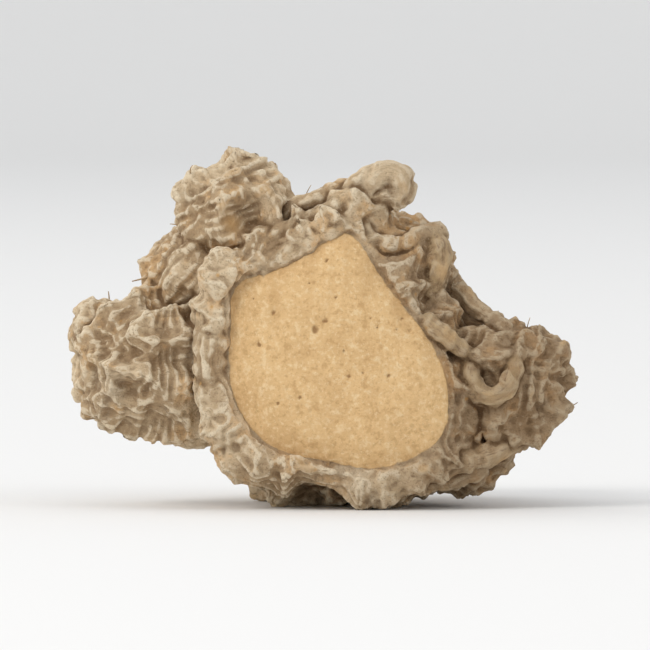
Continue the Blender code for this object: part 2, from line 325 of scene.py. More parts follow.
class Neighbours:
    """Which vertices of a mesh share an edge, for averaging over them."""

    def __init__(self, mesh: bpy.types.Mesh) -> None:
        """Read the mesh's edges.

        Args:
            mesh: the mesh.
        """
        ends = np.empty(len(mesh.edges) * 2, np.int32)
        mesh.edges.foreach_get("vertices", ends)
        self.one, self.other = ends.reshape(-1, 2).T
        self.count = len(mesh.vertices)
        self.edges_at = np.maximum(np.bincount(ends, minlength=self.count), 1)

    def average(self, values: np.ndarray) -> np.ndarray:
        """Average over each vertex's neighbours.

        Args:
            values: one value a vertex.

        Returns:
            The mean of the neighbours' values.
        """
        total = np.bincount(self.one, values[self.other], self.count)
        total += np.bincount(self.other, values[self.one], self.count)
        return total / self.edges_at

    def smoothed(self, rows: np.ndarray, passes: int) -> np.ndarray:
        """Average values again and again.

        Args:
            rows: one value or one row a vertex.
            passes: how many times each vertex moves halfway to its neighbours' mean.

        Returns:
            The smoothed values, shaped as they came.
        """
        columns = [column.copy() for column in np.atleast_2d(rows.T)]
        for _ in range(passes):
            columns = [0.5 * column + 0.5 * self.average(column) for column in columns]
        return np.column_stack(columns).reshape(rows.shape)

    def parted(self, rows: np.ndarray, jump: float) -> np.ndarray:
        """Find the edges over which the values jump.

        Args:
            rows: one row a vertex.
            jump: the change that counts, in any column.

        Returns:
            1 at both ends of such edges and 0 elsewhere.
        """
        far = np.abs(rows[self.one] - rows[self.other]).max(1) > jump
        ends = np.zeros(self.count)
        ends[self.one[far]] = 1
        ends[self.other[far]] = 1
        return ends

    def widened(self, values: np.ndarray) -> np.ndarray:
        """Spread high values to the neighbours.

        Args:
            values: one value a vertex.

        Returns:
            The highest of each vertex's own value and its neighbours'.
        """
        highest = values.copy()
        np.maximum.at(highest, self.one, values[self.other])
        np.maximum.at(highest, self.other, values[self.one])
        return highest

    def passes_for(self, reach: float, edge: float) -> int:
        """How many passes smooth over this distance where the edges are this long."""
        return max(1, round((2 * reach / edge) ** 2))


@dataclass(frozen=True)
class Scar:
    """A round scar where a bud or a root broke off."""

    middle: Point
    radius: float
    rim: float
    rim_width: float = 0.26
    dip: float = 0.7  # against the rim's height
    dip_width: float = 0.6  # against the rim's radius

    def height(self, points: np.ndarray) -> np.ndarray:
        """Read how far the scar raises the skin.

        Args:
            points: points of the face frame.

        Returns:
            The height at each point.
        """
        away = np.linalg.norm(points - np.array(self.middle), axis=1)
        ring = np.exp(-(((away - self.radius) / self.rim_width) ** 2))
        return self.rim * (ring - self.dip * np.exp(-((away / (self.dip_width * self.radius)) ** 2)))


@dataclass(frozen=True)
class DriedSkin:
    """How the skin stands up as it shrinks: folds, leaf rings, scars and small wrinkles.

    A rate says how many times finer a pattern is than the one that it goes with. A level is taken
    off a pattern, so that the skin sinks about as much as it rises.
    """

    # Folds with thin crests, which wander over lumps
    fold_spacing: float = 1.75
    fold_height: float = 0.62
    fold_stretch: float = 0.62  # under 1 draws the folds out along the growth
    fold_wander: float = 0.6
    fold_wander_rate: float = 0.7
    fold_sharpness: float = 2.3
    fold_power: float = 1.2
    fold_level: float = 0.45
    fine_fold_share: float = 0.3
    fine_fold_base: float = 0.7  # their height between the crests, and on them it is 1 more
    fine_fold_rate: float = 1.9
    fine_fold_level: float = 0.4
    lump_height: float = 0.5
    lump_rate: float = 0.4
    # Rings that leaves left, each of which rises slowly and drops steeply
    ring_height: float = 0.34
    ring_waves: Waves = ((0.22, 2, 9, 0.0), (0.12, 5, 0, 1.3))
    ring_drop: float = 5.0
    ring_level: float = 0.2
    # Small creases along the growth
    crease_spacing: float = 0.5
    crease_stretch: float = 0.16
    crease_height: float = 0.13
    crease_sharpness: float = 2.6
    crease_power: float = 1.3
    crease_level: float = 0.35
    crease_loss: float = 0.7  # share of their height that they lose among ripples
    crease_wander: float = 0.4
    crease_wander_rate: float = 0.8
    # Small ripples round it, as leaf bases leave, in patches between the creases
    ripple_spacing: float = 0.44
    ripple_height: float = 0.12
    ripple_wander: Pairs = ((1.9, 1.5), (0.6, 0.45))  # size, how far
    ripple_power: float = 1.5
    ripple_level: float = 0.4
    patch_size: float = 2.0
    patch_edge: tuple[float, float] = (-0.25, 0.2)
    # Puckers all over
    pucker_spacing: float = 0.24
    pucker_height: float = 0.055
    # The noise patterns, of which each growth has its own part
    pattern_step: Point = (7.3, 3.1, 5.7)
    pattern_seed: int = 3
    scars: tuple[Scar, ...] = (
        Scar((-3.7, 5.6, -0.7), 0.95, 0.38),
        Scar((-8.0, -0.9, -0.8), 0.8, 0.3),
        Scar((-1.2, 6.6, -5.2), 0.9, 0.35),
        Scar((2.2, 5.2, -6.0), 0.75, 0.3),
        Scar((-5.6, -2.2, -6.8), 0.8, 0.3),
        Scar((4.4, -3.6, -5.6), 0.8, 0.3),
        Scar((0.2, 1.9, -11.6), 1.2, 0.4),
        Scar((5.0, 3.2, -10.4), 0.8, 0.3),
    )

    def crests(self, places: np.ndarray, sharpness: float) -> np.ndarray:
        """1 on a crest and 0 in the hollows between crests of the noise pattern."""
        return np.clip(1 - sharpness * np.abs(value_noise(places)), 0, 1)

    def own_part(self, places: np.ndarray, seed: int) -> np.ndarray:
        """Places moved to the part of the patterns that is this growth's own."""
        return places + seed * np.array(self.pattern_step)

    def folds(self, local: np.ndarray, seed: int) -> np.ndarray:
        """Read the shrunken skin's folds and lumps.

        Args:
            local: points with Z along the growth.
            seed: the growth's own pattern.

        Returns:
            The height at each point.
        """
        stretched = self.own_part(local * (1, 1, self.fold_stretch) / self.fold_spacing, seed)
        wander = stretched + self.fold_wander * vector_noise(stretched * self.fold_wander_rate)
        crest = self.crests(wander, self.fold_sharpness) ** self.fold_power
        fine = self.crests(wander * self.fine_fold_rate, self.fold_sharpness) - self.fine_fold_level
        fine = self.fine_fold_share * (self.fine_fold_base + crest) * fine
        lump = value_noise(stretched * self.lump_rate)
        return self.fold_height * (crest - self.fold_level + fine) + self.lump_height * lump

    def leaf_rings(self, along: np.ndarray, angle: np.ndarray, count: int) -> np.ndarray:
        """Read the leaf scars that ring a growing root.

        Args:
            along: share of the way along the growth.
            angle: angle round it.
            count: how many rings it has.

        Returns:
            The height at each point.
        """
        share = (along * count + waves_round(angle, along, self.ring_waves)) % 1.0
        dropped = np.clip((1 - share) * self.ring_drop, 0, 1)
        return self.ring_height * (share**2 * dropped - self.ring_level)

    def scarred(self, points: np.ndarray) -> np.ndarray:
        """Height of all the round scars at these points of the face frame."""
        return sum(scar.height(points) for scar in self.scars)

    def grain(self, local: np.ndarray, seed: int) -> np.ndarray:
        """Places for painted streaks, drawn out along Z of the growth."""
        return self.own_part(local * (1, 1, self.crease_stretch), seed)

    def ripples(self, places: np.ndarray) -> np.ndarray:
        """From 0 between the small ripples, which run round Z and wander, to 1 on them."""
        phase = layered_noise(places, self.ripple_wander, places[:, 2] / self.ripple_spacing)
        return (1 - np.abs(2 * (phase % 1.0) - 1)) ** self.ripple_power

    def wrinkles(self, local: np.ndarray, seed: int, ringed: float) -> np.ndarray:
        """Read the small creases, ripples and puckers between the folds.

        Args:
            local: points with Z along the growth.
            seed: the growth's own pattern.
            ringed: how much of the skin may have ripples, against creases.

        Returns:
            The height at each point.
        """
        places = self.own_part(local, seed)
        wander = places + self.crease_wander * vector_noise(places * self.crease_wander_rate)
        along = wander * (1, 1, self.crease_stretch) / self.crease_spacing
        creases = self.crests(along, self.crease_sharpness) ** self.crease_power - self.crease_level
        rings = self.ripples(places) - self.ripple_level
        share = ringed * ease(value_noise(places / self.patch_size), *self.patch_edge)
        height = self.crease_height * creases * (1 - self.crease_loss * share)
        height += self.ripple_height * rings * share
        return height + self.pucker_height * value_noise(places / self.pucker_spacing)


class Growth:
    """A part of the root with its own folds, placed in the face frame."""

    name: str
    seed: int
    skin: DriedSkin
    ringed: float = 1.0  # leaf bases left ripples round it

    def own_places(self, points: np.ndarray) -> np.ndarray:
        """These points of the face frame in the growth's own frame, with Z along it."""
        raise NotImplementedError


@dataclass
class BareForm:
    """A growth's form before its skin is raised, with one row for each vertex."""

    angle: np.ndarray  # round the growth's axis
    along: np.ndarray  # share of the way from the first pole to the other
    local: np.ndarray  # points in the growth's own frame
    points: np.ndarray  # the same points in the face frame


@dataclass
class Surface:
    """A growth's raised mesh in the face frame, with what is bare, and how pale it is from broken ends, dust
    and painted highlight, at each vertex.
    """

    growth: Growth
    mesh: bpy.types.Mesh
    flesh: np.ndarray
    wear_and_highlight: np.ndarray


class Lump(Growth):
    """A growth that is shaped from a sphere with its poles on the growth's axis."""

    sides: int
    rows: int

    def shape(self, angle: np.ndarray, along: np.ndarray) -> BareForm:
        """Shape the bare form from the vertices' angles and their shares of the way along."""
        raise NotImplementedError

    def relief(self, form: BareForm) -> np.ndarray:
        """Height of the folds, rings and scars at each vertex."""
        raise NotImplementedError

    def flesh_share(self, form: BareForm) -> np.ndarray:
        """1 where the flesh is bare."""
        return np.zeros(len(form.along))

    def grow(self, mesh: bpy.types.Mesh) -> Surface:
        """Shape a unit sphere's mesh into the growth.

        Args:
            mesh: the sphere.

        Returns:
            The growth's surface.
        """
        unit = vertex_rows(mesh)
        angle = np.arctan2(unit[:, 1], unit[:, 0])
        along = np.arccos(np.clip(unit[:, 2], -1, 1)) / math.pi
        form = self.shape(angle, along)
        set_places(mesh, form.points)
        heights = self.relief(form)
        set_places(mesh, form.points + vertex_rows(mesh, "normal") * heights[:, None])
        return Surface(self, mesh, self.flesh_share(form), np.zeros(len(unit)))

    def grow_finer(self, detail: float) -> Surface:
        """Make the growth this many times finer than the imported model's."""
        return self.grow(fine_sphere(self.name, round(self.sides * detail), round(self.rows * detail)))


@dataclass
class CutChunk(Lump):
    """The chunk itself: domed cut face, rolled skin lip, folded side and the growing tip behind."""

    skin: DriedSkin
    name: str = "cut_chunk"
    seed: int = 1
    sides: int = 160
    rows: int = 110
    rings: int = 8
    length: float = 11.2
    back_rise: float = 0.9
    lip_height: float = 0.45
    lip_level: float = 0.55
    lip_lean: float = 0.6  # it stands this much over the level on the left, and under it on the right
    lip_waves: Waves = ((0.3, 3, 0, 0.6), (0.35, 7, 0, 2.0))
    skin_starts: float = 0.23  # along the profile
    skin_fade: float = 0.07
    tip_fade: float = 0.06
    flesh_ends: tuple[float, float] = (0.2, 0.228)
    flesh_wander: Pairs = ((1.1, 0.012), (0.3, 0.012))  # size, how far
    # Degrees round the face's middle from its right, and the radius there
    face_outline: Pairs = (
        (17, 3.4), (44, 3.2), (68, 3.7), (86, 4.85), (110, 4.45), (130, 4.4), (143, 4.95),
        (165, 4.45), (201, 4.4), (222, 4.4), (262, 4.0), (298, 4.65), (326, 4.9), (342, 4.4),
    )
    girth_outline: Pairs = (
        (12, 4.8), (35, 5.3), (55, 6.0), (75, 5.9), (92, 6.6), (118, 6.2),
        (145, 6.0), (185, 5.7), (218, 5.5), (250, 5.1), (285, 5.1), (331, 5.7),
    )
    # From the face's middle (0) to the tip behind (1): the shares of the face's and the girth's
    # radius, then how far outwards of that and forwards of the face's edge, and the lip's share
    profile: tuple[tuple[float, ...], ...] = (
        (0.00, 0.00, 0.00, 0.00, 0.80, 0.0),
        (0.07, 0.40, 0.00, 0.00, 0.72, 0.0),
        (0.14, 0.78, 0.00, 0.00, 0.46, 0.0),
        (0.19, 0.97, 0.00, 0.00, 0.08, 0.0),
        (0.23, 1.00, 0.00, 0.06, -0.04, 0.1),
        (0.27, 1.00, 0.00, 0.45, -0.05, 0.9),
        (0.32, 0.85, 0.15, 0.85, -0.60, 0.8),
        (0.40, 0.35, 0.65, 0.45, -1.80, 0.2),
        (0.49, 0.00, 1.00, 0.00, -3.50, 0.0),
        (0.62, 0.00, 0.99, 0.00, -5.80, 0.0),
        (0.76, 0.00, 0.84, 0.00, -8.20, 0.0),
        (0.87, 0.00, 0.56, 0.00, -10.0, 0.0),
        (0.95, 0.00, 0.26, 0.00, -10.9, 0.0),
        (1.00, 0.00, 0.00, 0.00, -11.2, 0.0),
    )
    flesh_relief: Pairs = ((1.5, 0.06), (0.42, 0.03), (0.2, 0.014))  # waves, bumps and grains
    band_spacing: float = 0.42  # of the faint bands that run down the upper face
    band_length: float = 4.0
    band_contrast: float = 1.6
    band_fade: tuple[float, float] = (-0.5, 3.0)  # how far up they begin and are full
    pit_count: int = 12
    pit_seed: int = 12
    pit_radius: tuple[float, float] = (0.04, 0.09)
    pit_depth: float = 0.09
    pit_within: float = 0.9  # share of the way to the face's edge
    pit_fray: float = 0.09
    pit_fray_size: float = 0.2
    seen_pits: tuple[Point, ...] = (  # across, up and radius
        (-0.95, 1.08, 0.15),
        (0.32, -0.74, 0.1),
        (-0.55, 1.42, 0.09),
        (-2.6, 1.75, 0.1),
        (-1.55, -1.54, 0.09),
        (1.9, -0.7, 0.11),
        (-0.16, 2.34, 0.08),
    )

    def shape(self, angle: np.ndarray, along: np.ndarray) -> BareForm:
        """Shape the bare chunk, which is the same in both frames.

        Args:
            angle: each vertex's angle round the axis.
            along: its share of the way from the face's middle to the tip behind.

        Returns:
            The bare chunk.
        """
        face = closed_outline(angle, self.face_outline)
        girth = closed_outline(angle, self.girth_outline)
        of_face, of_girth, outwards, forwards, of_lip = (
            smooth_curve(along, [(row[0], row[column]) for row in self.profile]) for column in range(1, 6)
        )
        lip = self.lip_level - self.lip_lean * np.cos(angle) + waves_round(angle, along, self.lip_waves)
        radius = of_face * face + of_girth * girth + outwards
        height = forwards + of_lip * (self.lip_height * lip)
        rise = self.back_rise * np.clip(-height / self.length, 0, 1) ** 2
        points = np.column_stack((radius * np.cos(angle), radius * np.sin(angle) + rise, height))
        return BareForm(angle, along, points, points)

    def relief(self, form: BareForm) -> np.ndarray:
        """Read the folds, rings and scars on the skin, which the cut face has none of.

        Args:
            form: the bare chunk.

        Returns:
            The height at each vertex.
        """
        on_skin = np.clip((form.along - self.skin_starts) / self.skin_fade, 0, 1)
        on_skin *= np.clip((1 - form.along) / self.tip_fade, 0, 1)
        rings = self.skin.leaf_rings(form.along, form.angle, self.rings)
        return on_skin * (self.skin.folds(form.local, self.seed) + rings + self.skin.scarred(form.points))

    def own_places(self, points: np.ndarray) -> np.ndarray:
        """The chunk's own frame is the face frame."""
        return points

    def flesh_share(self, form: BareForm) -> np.ndarray:
        """The cut face is bare flesh, with an uneven edge."""
        return 1 - ease(form.along + layered_noise(form.points, self.flesh_wander), *self.flesh_ends)

    def pits(self) -> list[Point]:
        """List the pits in the cut face.

        Returns:
            How far across and up each lies, and its radius.
        """
        rule = random.Random(self.pit_seed)
        drawn = list(self.seen_pits)
        for _ in range(self.pit_count):
            angle, share = rule.uniform(0, math.tau), math.sqrt(rule.random())
            reach = self.pit_within * share * float(closed_outline(np.array([angle]), self.face_outline)[0])
            drawn.append((reach * math.cos(angle), reach * math.sin(angle), rule.uniform(*self.pit_radius)))
        return drawn

    def pitted(self, points: np.ndarray) -> np.ndarray:
        """Read where the pits are.

        Args:
            points: points of the face frame.

        Returns:
            1 in the middle of each uneven pit, and 0 away from them.
        """
        frayed = points + self.pit_fray * vector_noise(points / self.pit_fray_size)
        deep = np.zeros(len(points))
        for across, up, radius in self.pits():
            away = np.hypot(frayed[:, 0] - across, frayed[:, 1] - up)
            deep = np.maximum(deep, np.exp(-((away / radius) ** 2)))
        return deep

    def banded(self, points: np.ndarray) -> np.ndarray:
        """1 in the middle of each faint band of the upper face, and 0 between them and below."""
        bands = value_noise(points / (self.band_spacing, self.band_length, self.band_length))
        return np.clip(self.band_contrast * bands, 0, 1) * ease(points[:, 1], *self.band_fade)

    def bare_relief(self, points: np.ndarray) -> np.ndarray:
        """Height of the dried flesh's waves, bumps, grains and pits at these points of the face frame."""
        return layered_noise(points, self.flesh_relief) - self.pit_depth * self.pitted(points)


@dataclass
class Knob(Lump):
    """A side knob: an egg with leaf rings and folds, its tip pointing the way it grows."""

    name: str
    seed: int
    skin: DriedSkin
    middle: Point
    grows: Point
    radius: float
    length: float
    blunt: float  # 1 for an egg, less for a blunter end
    rings: int  # on each half of its length
    sides: int = 84
    rows: int = 56
    full_relief: float = 2.4  # a thinner knob has shallower folds in proportion
    pole_fade: float = 0.16

    def shape(self, angle: np.ndarray, along: np.ndarray) -> BareForm:
        """Shape the bare egg upright, and place it in the face frame.

        Args:
            angle: each vertex's angle round the axis.
            along: its share of the way from the tip to the foot.

        Returns:
            The bare egg.
        """
        wide = self.radius * np.sin(along * math.pi) ** self.blunt
        level = np.cos(along * math.pi)
        tall = 0.5 * self.length * np.sign(level) * np.abs(level) ** self.blunt
        local = np.column_stack((wide * np.cos(angle), wide * np.sin(angle), tall))
        return BareForm(angle, along, local, local @ self.turn.T + np.array(self.middle))

    @property
    def turn(self) -> np.ndarray:
        """The rotation from its own frame to the face frame."""
        return np.array(Vector(self.grows).to_track_quat("Z", "Y").to_matrix())

    def own_places(self, points: np.ndarray) -> np.ndarray:
        """Undo the knob's placing."""
        return (points - np.array(self.middle)) @ self.turn

    def relief(self, form: BareForm) -> np.ndarray:
        """Read the folds and rings, in proportion to the knob, and the scars that it meets.

        Args:
            form: the bare egg.

        Returns:
            The height at each vertex.
        """
        rings = self.skin.leaf_rings(form.along * 2, form.angle, self.rings)
        share = min(1.0, self.radius / self.full_relief)
        heights = share * (self.skin.folds(form.local, self.seed) + rings) + self.skin.scarred(form.points)
        return heights * np.clip(np.sin(form.along * math.pi) / self.pole_fade, 0, 1)


@dataclass
class Curl(Growth):
    """A curled end of skin, a pleat, a dried rootlet or a broken root: a closed tube of its own."""

    name: str
    seed: int
    skin: DriedSkin
    points: Sequence[Sequence[float]]
    radii: Sequence[float]
    pale_dust_and_highlight: float = 0.0  # how pale it is, from dust and a painted highlight on the raised curl
    ringed: float = 0.5
    worn_from: float = 2.0  # share of the way from which its end is broken and quite pale, if under 1
    roughness: float = 0.36  # how far its sides bulge, against its radius
    roughness_spacing: float = 0.5
    steps: int = 16
    roundness: int = 6
    weld: float = 1e-4

    def line(self, thickness: float) -> bpy.types.Mesh:
        """Draw the curve through the curl's points.

        Args:
            thickness: 0 for a bare line, 1 for a tube with the curl's radii.

        Returns:
            The mesh.
        """
        curve = bpy.data.curves.new(self.name, "CURVE")
        curve.dimensions = "3D"
        curve.bevel_depth = thickness
        curve.bevel_resolution = self.roundness
        curve.resolution_u = self.steps
        curve.use_fill_caps = True
        spline = curve.splines.new("BEZIER")
        spline.bezier_points.add(len(self.points) - 1)
        for knot, point, radius in zip(spline.bezier_points, self.points, self.radii):
            knot.co = point
            knot.radius = radius
            knot.handle_left_type = "AUTO"
            knot.handle_right_type = "AUTO"
        with workbench("curl_line") as group:
            return evaluated_mesh(as_object(curve, self.name, group))

    def own_places(self, points: np.ndarray) -> np.ndarray:
        """Find where points lie along the curl.

        Args:
            points: points of the face frame, on the tube.

        Returns:
            For each one, how far it is out of the curl's middle line, level and to the side, and
            how far along the line it lies.
        """
        line = vertex_rows(self.line(0.0))
        spans = np.linalg.norm(np.diff(line, axis=0), axis=1)
        starts = np.concatenate(([0], np.cumsum(spans)))
        heading = np.gradient(line, axis=0)
        heading /= np.linalg.norm(heading, axis=1)[:, None]
        side = np.cross(heading, (0, 0, 1))
        apart = points[:, None, :] - line[None, :, :]
        nearest = (apart**2).sum(2).argmin(1)
        offset = apart[np.arange(len(points)), nearest]
        along = (offset * heading[nearest]).sum(1)
        sideways = (offset * side[nearest]).sum(1)
        return np.column_stack((offset[:, 2], sideways, starts[nearest] + along))

    def grow(self) -> Surface:
        """Make the tube, with uneven sides.

        Returns:
            The curl's surface.
        """
        welded = bmesh.new()
        welded.from_mesh(self.line(1.0))
        bmesh.ops.remove_doubles(welded, verts=welded.verts, dist=self.weld)
        # Only the end caps have more than four corners
        bmesh.ops.triangulate(welded, faces=[face for face in welded.faces if len(face.verts) > 4])
        bmesh.ops.recalc_face_normals(welded, faces=welded.faces)
        mesh = kept_mesh(welded, self.name)
        places = vertex_rows(mesh)
        bulges = self.roughness * max(self.radii) * value_noise(places / self.roughness_spacing + self.seed)
        set_places(mesh, places + vertex_rows(mesh, "normal") * bulges[:, None])
        along = self.own_places(places)[:, 2]
        wear_and_highlight = np.where(along > self.worn_from * along.max(), 1.0, self.pale_dust_and_highlight)
        return Surface(self, mesh, np.zeros(len(places)), wear_and_highlight)


@dataclass(frozen=True)
class StubRule:
    """How broken root stubs are scattered over the sides and the underside."""

    count: int = 12
    radius: tuple[float, float] = (0.34, 0.5)
    length: tuple[float, float] = (0.4, 1.0)
    sunk: float = 1.0
    apart: float = 2.6
    behind: float = 2.4  # at least this far behind the face
    below: float = 1.5  # and below this height over the face's middle
    within: float = 7.5  # of the middle, sideways
    slope: float = 0.2  # it points no further up than this
    end: float = 0.25
    bend: float = 0.3
    taper: Point = (1.4, 1.0, 0.8)  # its foot, its tip and its broken end, against its radius
    seed: int = 5
    first_pattern: int = 60
    worn_from: float = 0.8

    def stubs(self, hosts: Sequence[Lump], skin: DriedSkin) -> list[Curl]:
        """Scatter the stubs.

        Args:
            hosts: what they may grow from.
            skin: the relief that they share.

        Returns:
            One tube for each stub.
        """
        rule = random.Random(self.seed)
        coarse = [host.grow(packed_sphere(host.name, host.sides, host.rows)).mesh for host in hosts]
        feet = np.concatenate([vertex_rows(mesh) for mesh in coarse])
        outs = np.concatenate([vertex_rows(mesh, "normal") for mesh in coarse])
        order = list(range(len(feet)))
        rule.shuffle(order)
        grown: list[Vector] = []
        made: list[Curl] = []
        for index in order:
            foot, out = Vector(feet[index]), Vector(outs[index])
            hidden = foot.z < -self.behind and foot.y < self.below and abs(foot.x) < self.within
            if len(grown) == self.count or not hidden or out.y > self.slope:
                continue
            if any((foot - other).length < self.apart for other in grown):
                continue
            thick = rule.uniform(*self.radius)
            tip = foot + out * rule.uniform(*self.length)
            aside = Vector([rule.uniform(-self.bend, self.bend) for _ in range(3)])
            points = (foot - out * self.sunk, tip, tip + out * self.end + aside)
            radii = [thick * share for share in self.taper]
            name, pattern = f"stub_{len(grown)}", self.first_pattern + len(grown)
            made.append(Curl(name, pattern, skin, points, radii, worn_from=self.worn_from))
            grown.append(foot)
        return made


class Socket:
    """A value, vector or colour on its way through a material's nodes."""

    def __init__(self, bench: "MaterialBench", socket: bpy.types.NodeSocket) -> None:
        """Wrap one output socket of a node on this bench."""
        self.bench = bench
        self.socket = socket

    def _math(self, operation: str, *terms: "Socket | float") -> "Socket":
        """Add a Math node that works on these terms."""
        return self.bench.node("ShaderNodeMath", {"operation": operation}, dict(enumerate(terms)))

    def __add__(self, other: "Socket | float") -> "Socket":
        """Add another value."""
        return self._math("ADD", self, other)

    __radd__ = __add__

    def __sub__(self, other: "Socket | float") -> "Socket":
        """Take another value away."""
        return self._math("SUBTRACT", self, other)

    def __rsub__(self, other: float) -> "Socket":
        """Take this away from a number."""
        return self._math("SUBTRACT", other, self)

    def __mul__(self, other: "Socket | float") -> "Socket":
        """Multiply by another value."""
        return self._math("MULTIPLY", self, other)

    __rmul__ = __mul__

    def clipped(self) -> "Socket":
        """Keep it from 0 to 1."""
        return self.bench.node("ShaderNodeClamp", {}, {"Value": self})

    def between(self, low: float, high: float) -> "Socket":
        """A smooth step from 0 where this is low to 1 where it is high."""
        sockets = {"Value": self, "From Min": low, "From Max": high}
        return self.bench.node("ShaderNodeMapRange", {"interpolation_type": "SMOOTHSTEP"}, sockets)


Paint = Socket | Sequence[float]


class MixMode(Enum):
    """How one colour is laid over another."""

    COVER = "MIX"
    TINT = "MULTIPLY"


class Tone(Enum):
    """The colours, as 8-bit red, green and blue."""

    SKIN_DARK = (182, 155, 121)
    SKIN_PALE = (222, 199, 165)
    SKIN_WARM = (222, 178, 124)
    SKIN_GREY = (190, 174, 150)
    SPECK = (112, 88, 62)
    # dust, and painted highlight on the crests
    DUST_AND_HIGHLIGHT = (236, 219, 190)
    # dirt, and painted shade in the grooves, fold hollows and seams
    DIRT_AND_SHADE = (128, 101, 72)
    FLECK = (214, 166, 102)
    FLESH = (226, 189, 137)
    FLESH_SHADE = (196, 156, 106)
    FLESH_LIGHT = (240, 214, 170)
    FLESH_EDGE = (196, 157, 108)
    PIT = (140, 104, 66)
    # pale broken ends, and painted highlight on raised curls
    PALE_END_AND_HIGHLIGHT = (218, 192, 150)
    PAINTED_SIDE_SHADE = (208, 200, 192)  # painted shade that darkens and greys the right side
    ROOTLET_DARK = (120, 94, 66)
    ROOTLET_PALE = (196, 168, 128)
    FLOOR = (236, 235, 233)

    @property
    def linear(self) -> tuple[float, float, float, float]:
        """The colour as Blender's sockets take it."""
        shares = [part / 255 for part in self.value]
        return (*[s / 12.92 if s <= 0.04045 else ((s + 0.055) / 1.055) ** 2.4 for s in shares], 1.0)


@dataclass(frozen=True)
class Mottle:
    """Soft noise: how wide its patches are, and how finely and how roughly they break up."""

    size: float
    detail: float = 2.0
    rough: float = 0.5


@dataclass(frozen=True)
class Specks:
    """Round specks: how far apart, how wide from middle to edge, and how soft at the edge."""

    apart: float
    radius: float
    soft: float


@dataclass(frozen=True)
class Rise:
    """How a pattern counts: not at all where it starts, and this share where it is full."""

    starts: float
    full: float
    share: float = 1.0

    def of(self, pattern: Socket) -> Socket:
        """What the pattern counts for at each place."""
        return pattern.between(self.starts, self.full) * self.share


@dataclass(frozen=True)
class Wash:
    """A colour that a pattern brings out."""

    tone: Tone
    rise: Rise

    def over(self, under: Paint, pattern: Socket) -> Socket:
        """Lay the wash over a colour."""
        return pattern.bench.mix(under, self.tone.linear, self.rise.of(pattern))


Layers = tuple[tuple[Mottle, tuple[Wash, ...]], ...]


class MaterialBench:
    """Builds the nodes of one material, with its places in millimetres."""

    def __init__(self, name: str) -> None:
        """Start a material with a Principled shader.

        Args:
            name: the material's name.
        """
        self.material = bpy.data.materials.new(name)
        self.material.use_nodes = True
        self.tree = self.material.node_tree
        self.shader = self.tree.nodes["Principled BSDF"]

    def feed(self, socket: bpy.types.NodeSocket, value: Paint | float) -> None:
        """Link a wrapped socket to a node's socket, or set its value.

        Args:
            socket: the node's input.
            value: what goes in.
        """
        if isinstance(value, Socket):
            self.tree.links.new(value.socket, socket)
        else:
            socket.default_value = value

    def node(
        self, kind: str, settings: dict[str, object], sockets: dict[str | int, object], output: str | int = 0
    ) -> Socket:
        """Add a node.

        Args:
            kind: the node's type.
            settings: its own settings, which are set first.
            sockets: the values or links of its input sockets.
            output: the output socket that is wanted.

        Returns:
            That output, wrapped.
        """
        made = self.tree.nodes.new(kind)
        for name, value in settings.items():
            setattr(made, name, value)
        for name, value in sockets.items():
            self.feed(made.inputs[name], value)
        return Socket(self, made.outputs[output])

    def attribute(self, name: str, output: str = "Fac") -> Socket:
        """What the mesh says under this name at each place."""
        return self.node("ShaderNodeAttribute", {"attribute_name": name}, {}, output)

    @cached_property
    def place(self) -> Socket:
        """The place on the object, in millimetres."""
        coordinates = self.node("ShaderNodeTexCoord", {}, {}, "Object")
        return self.node("ShaderNodeVectorMath", {"operation": "SCALE"}, {0: coordinates, "Scale": 1 / MM})

    def mottle(self, mottle: Mottle, place: Socket | None = None) -> Socket:
        """Soft noise from 0 to 1 over the object, or over other places."""
        sockets = {"Scale": 1 / mottle.size, "Detail": mottle.detail, "Roughness": mottle.rough}
        return self.node("ShaderNodeTexNoise", {}, {"Vector": place or self.place, **sockets}, "Fac")

    def specks(self, specks: Specks) -> Socket:
        """Scatter round specks over the object.

        Args:
            specks: how they lie.

        Returns:
            1 inside the specks and 0 between them.
        """
        sockets = {"Vector": self.place, "Scale": 1 / specks.apart}
        away = self.node("ShaderNodeTexVoronoi", {}, sockets, "Distance")
        return 1 - away.between(specks.radius / specks.apart, (specks.radius + specks.soft) / specks.apart)

    def mix(self, under: Paint, over: Paint, share: Socket | float, mode: MixMode = MixMode.COVER) -> Socket:
        """Lay one colour over another.

        Args:
            under: the colour below.
            over: the colour above.
            share: how much of it shows.
            mode: whether it covers or tints.

        Returns:
            The mixed colour.
        """
        settings = {"data_type": "RGBA", "blend_type": mode.value}
        # The node's colours go in at its sockets 6 and 7, and come out at 2
        return self.node("ShaderNodeMix", settings, {0: share, 6: under, 7: over}, 2)

    def layered(self, under: Paint, layers: Layers) -> Socket:
        """Lay mottled washes over a colour, one after another.

        Args:
            under: the colour below them.
            layers: each soft noise, with the washes that it brings out.

        Returns:
            The mixed colour.
        """
        for mottle, washes in layers:
            pattern = self.mottle(mottle)
            for wash in washes:
                under = wash.over(under, pattern)
        return under

    def bump(self, height: Socket, strength: float) -> Socket:
        """The normal of a surface raised by this height in millimetres."""
        return self.node("ShaderNodeBump", {}, {"Strength": strength, "Distance": MM, "Height": height})

    def dressed(self, sockets: dict[str, object]) -> bpy.types.Material:
        """Feed the shader.

        Args:
            sockets: the values or links of its input sockets.

        Returns:
            The finished material.
        """
        for name, value in sockets.items():
            self.feed(self.shader.inputs[name], value)
        return self.material


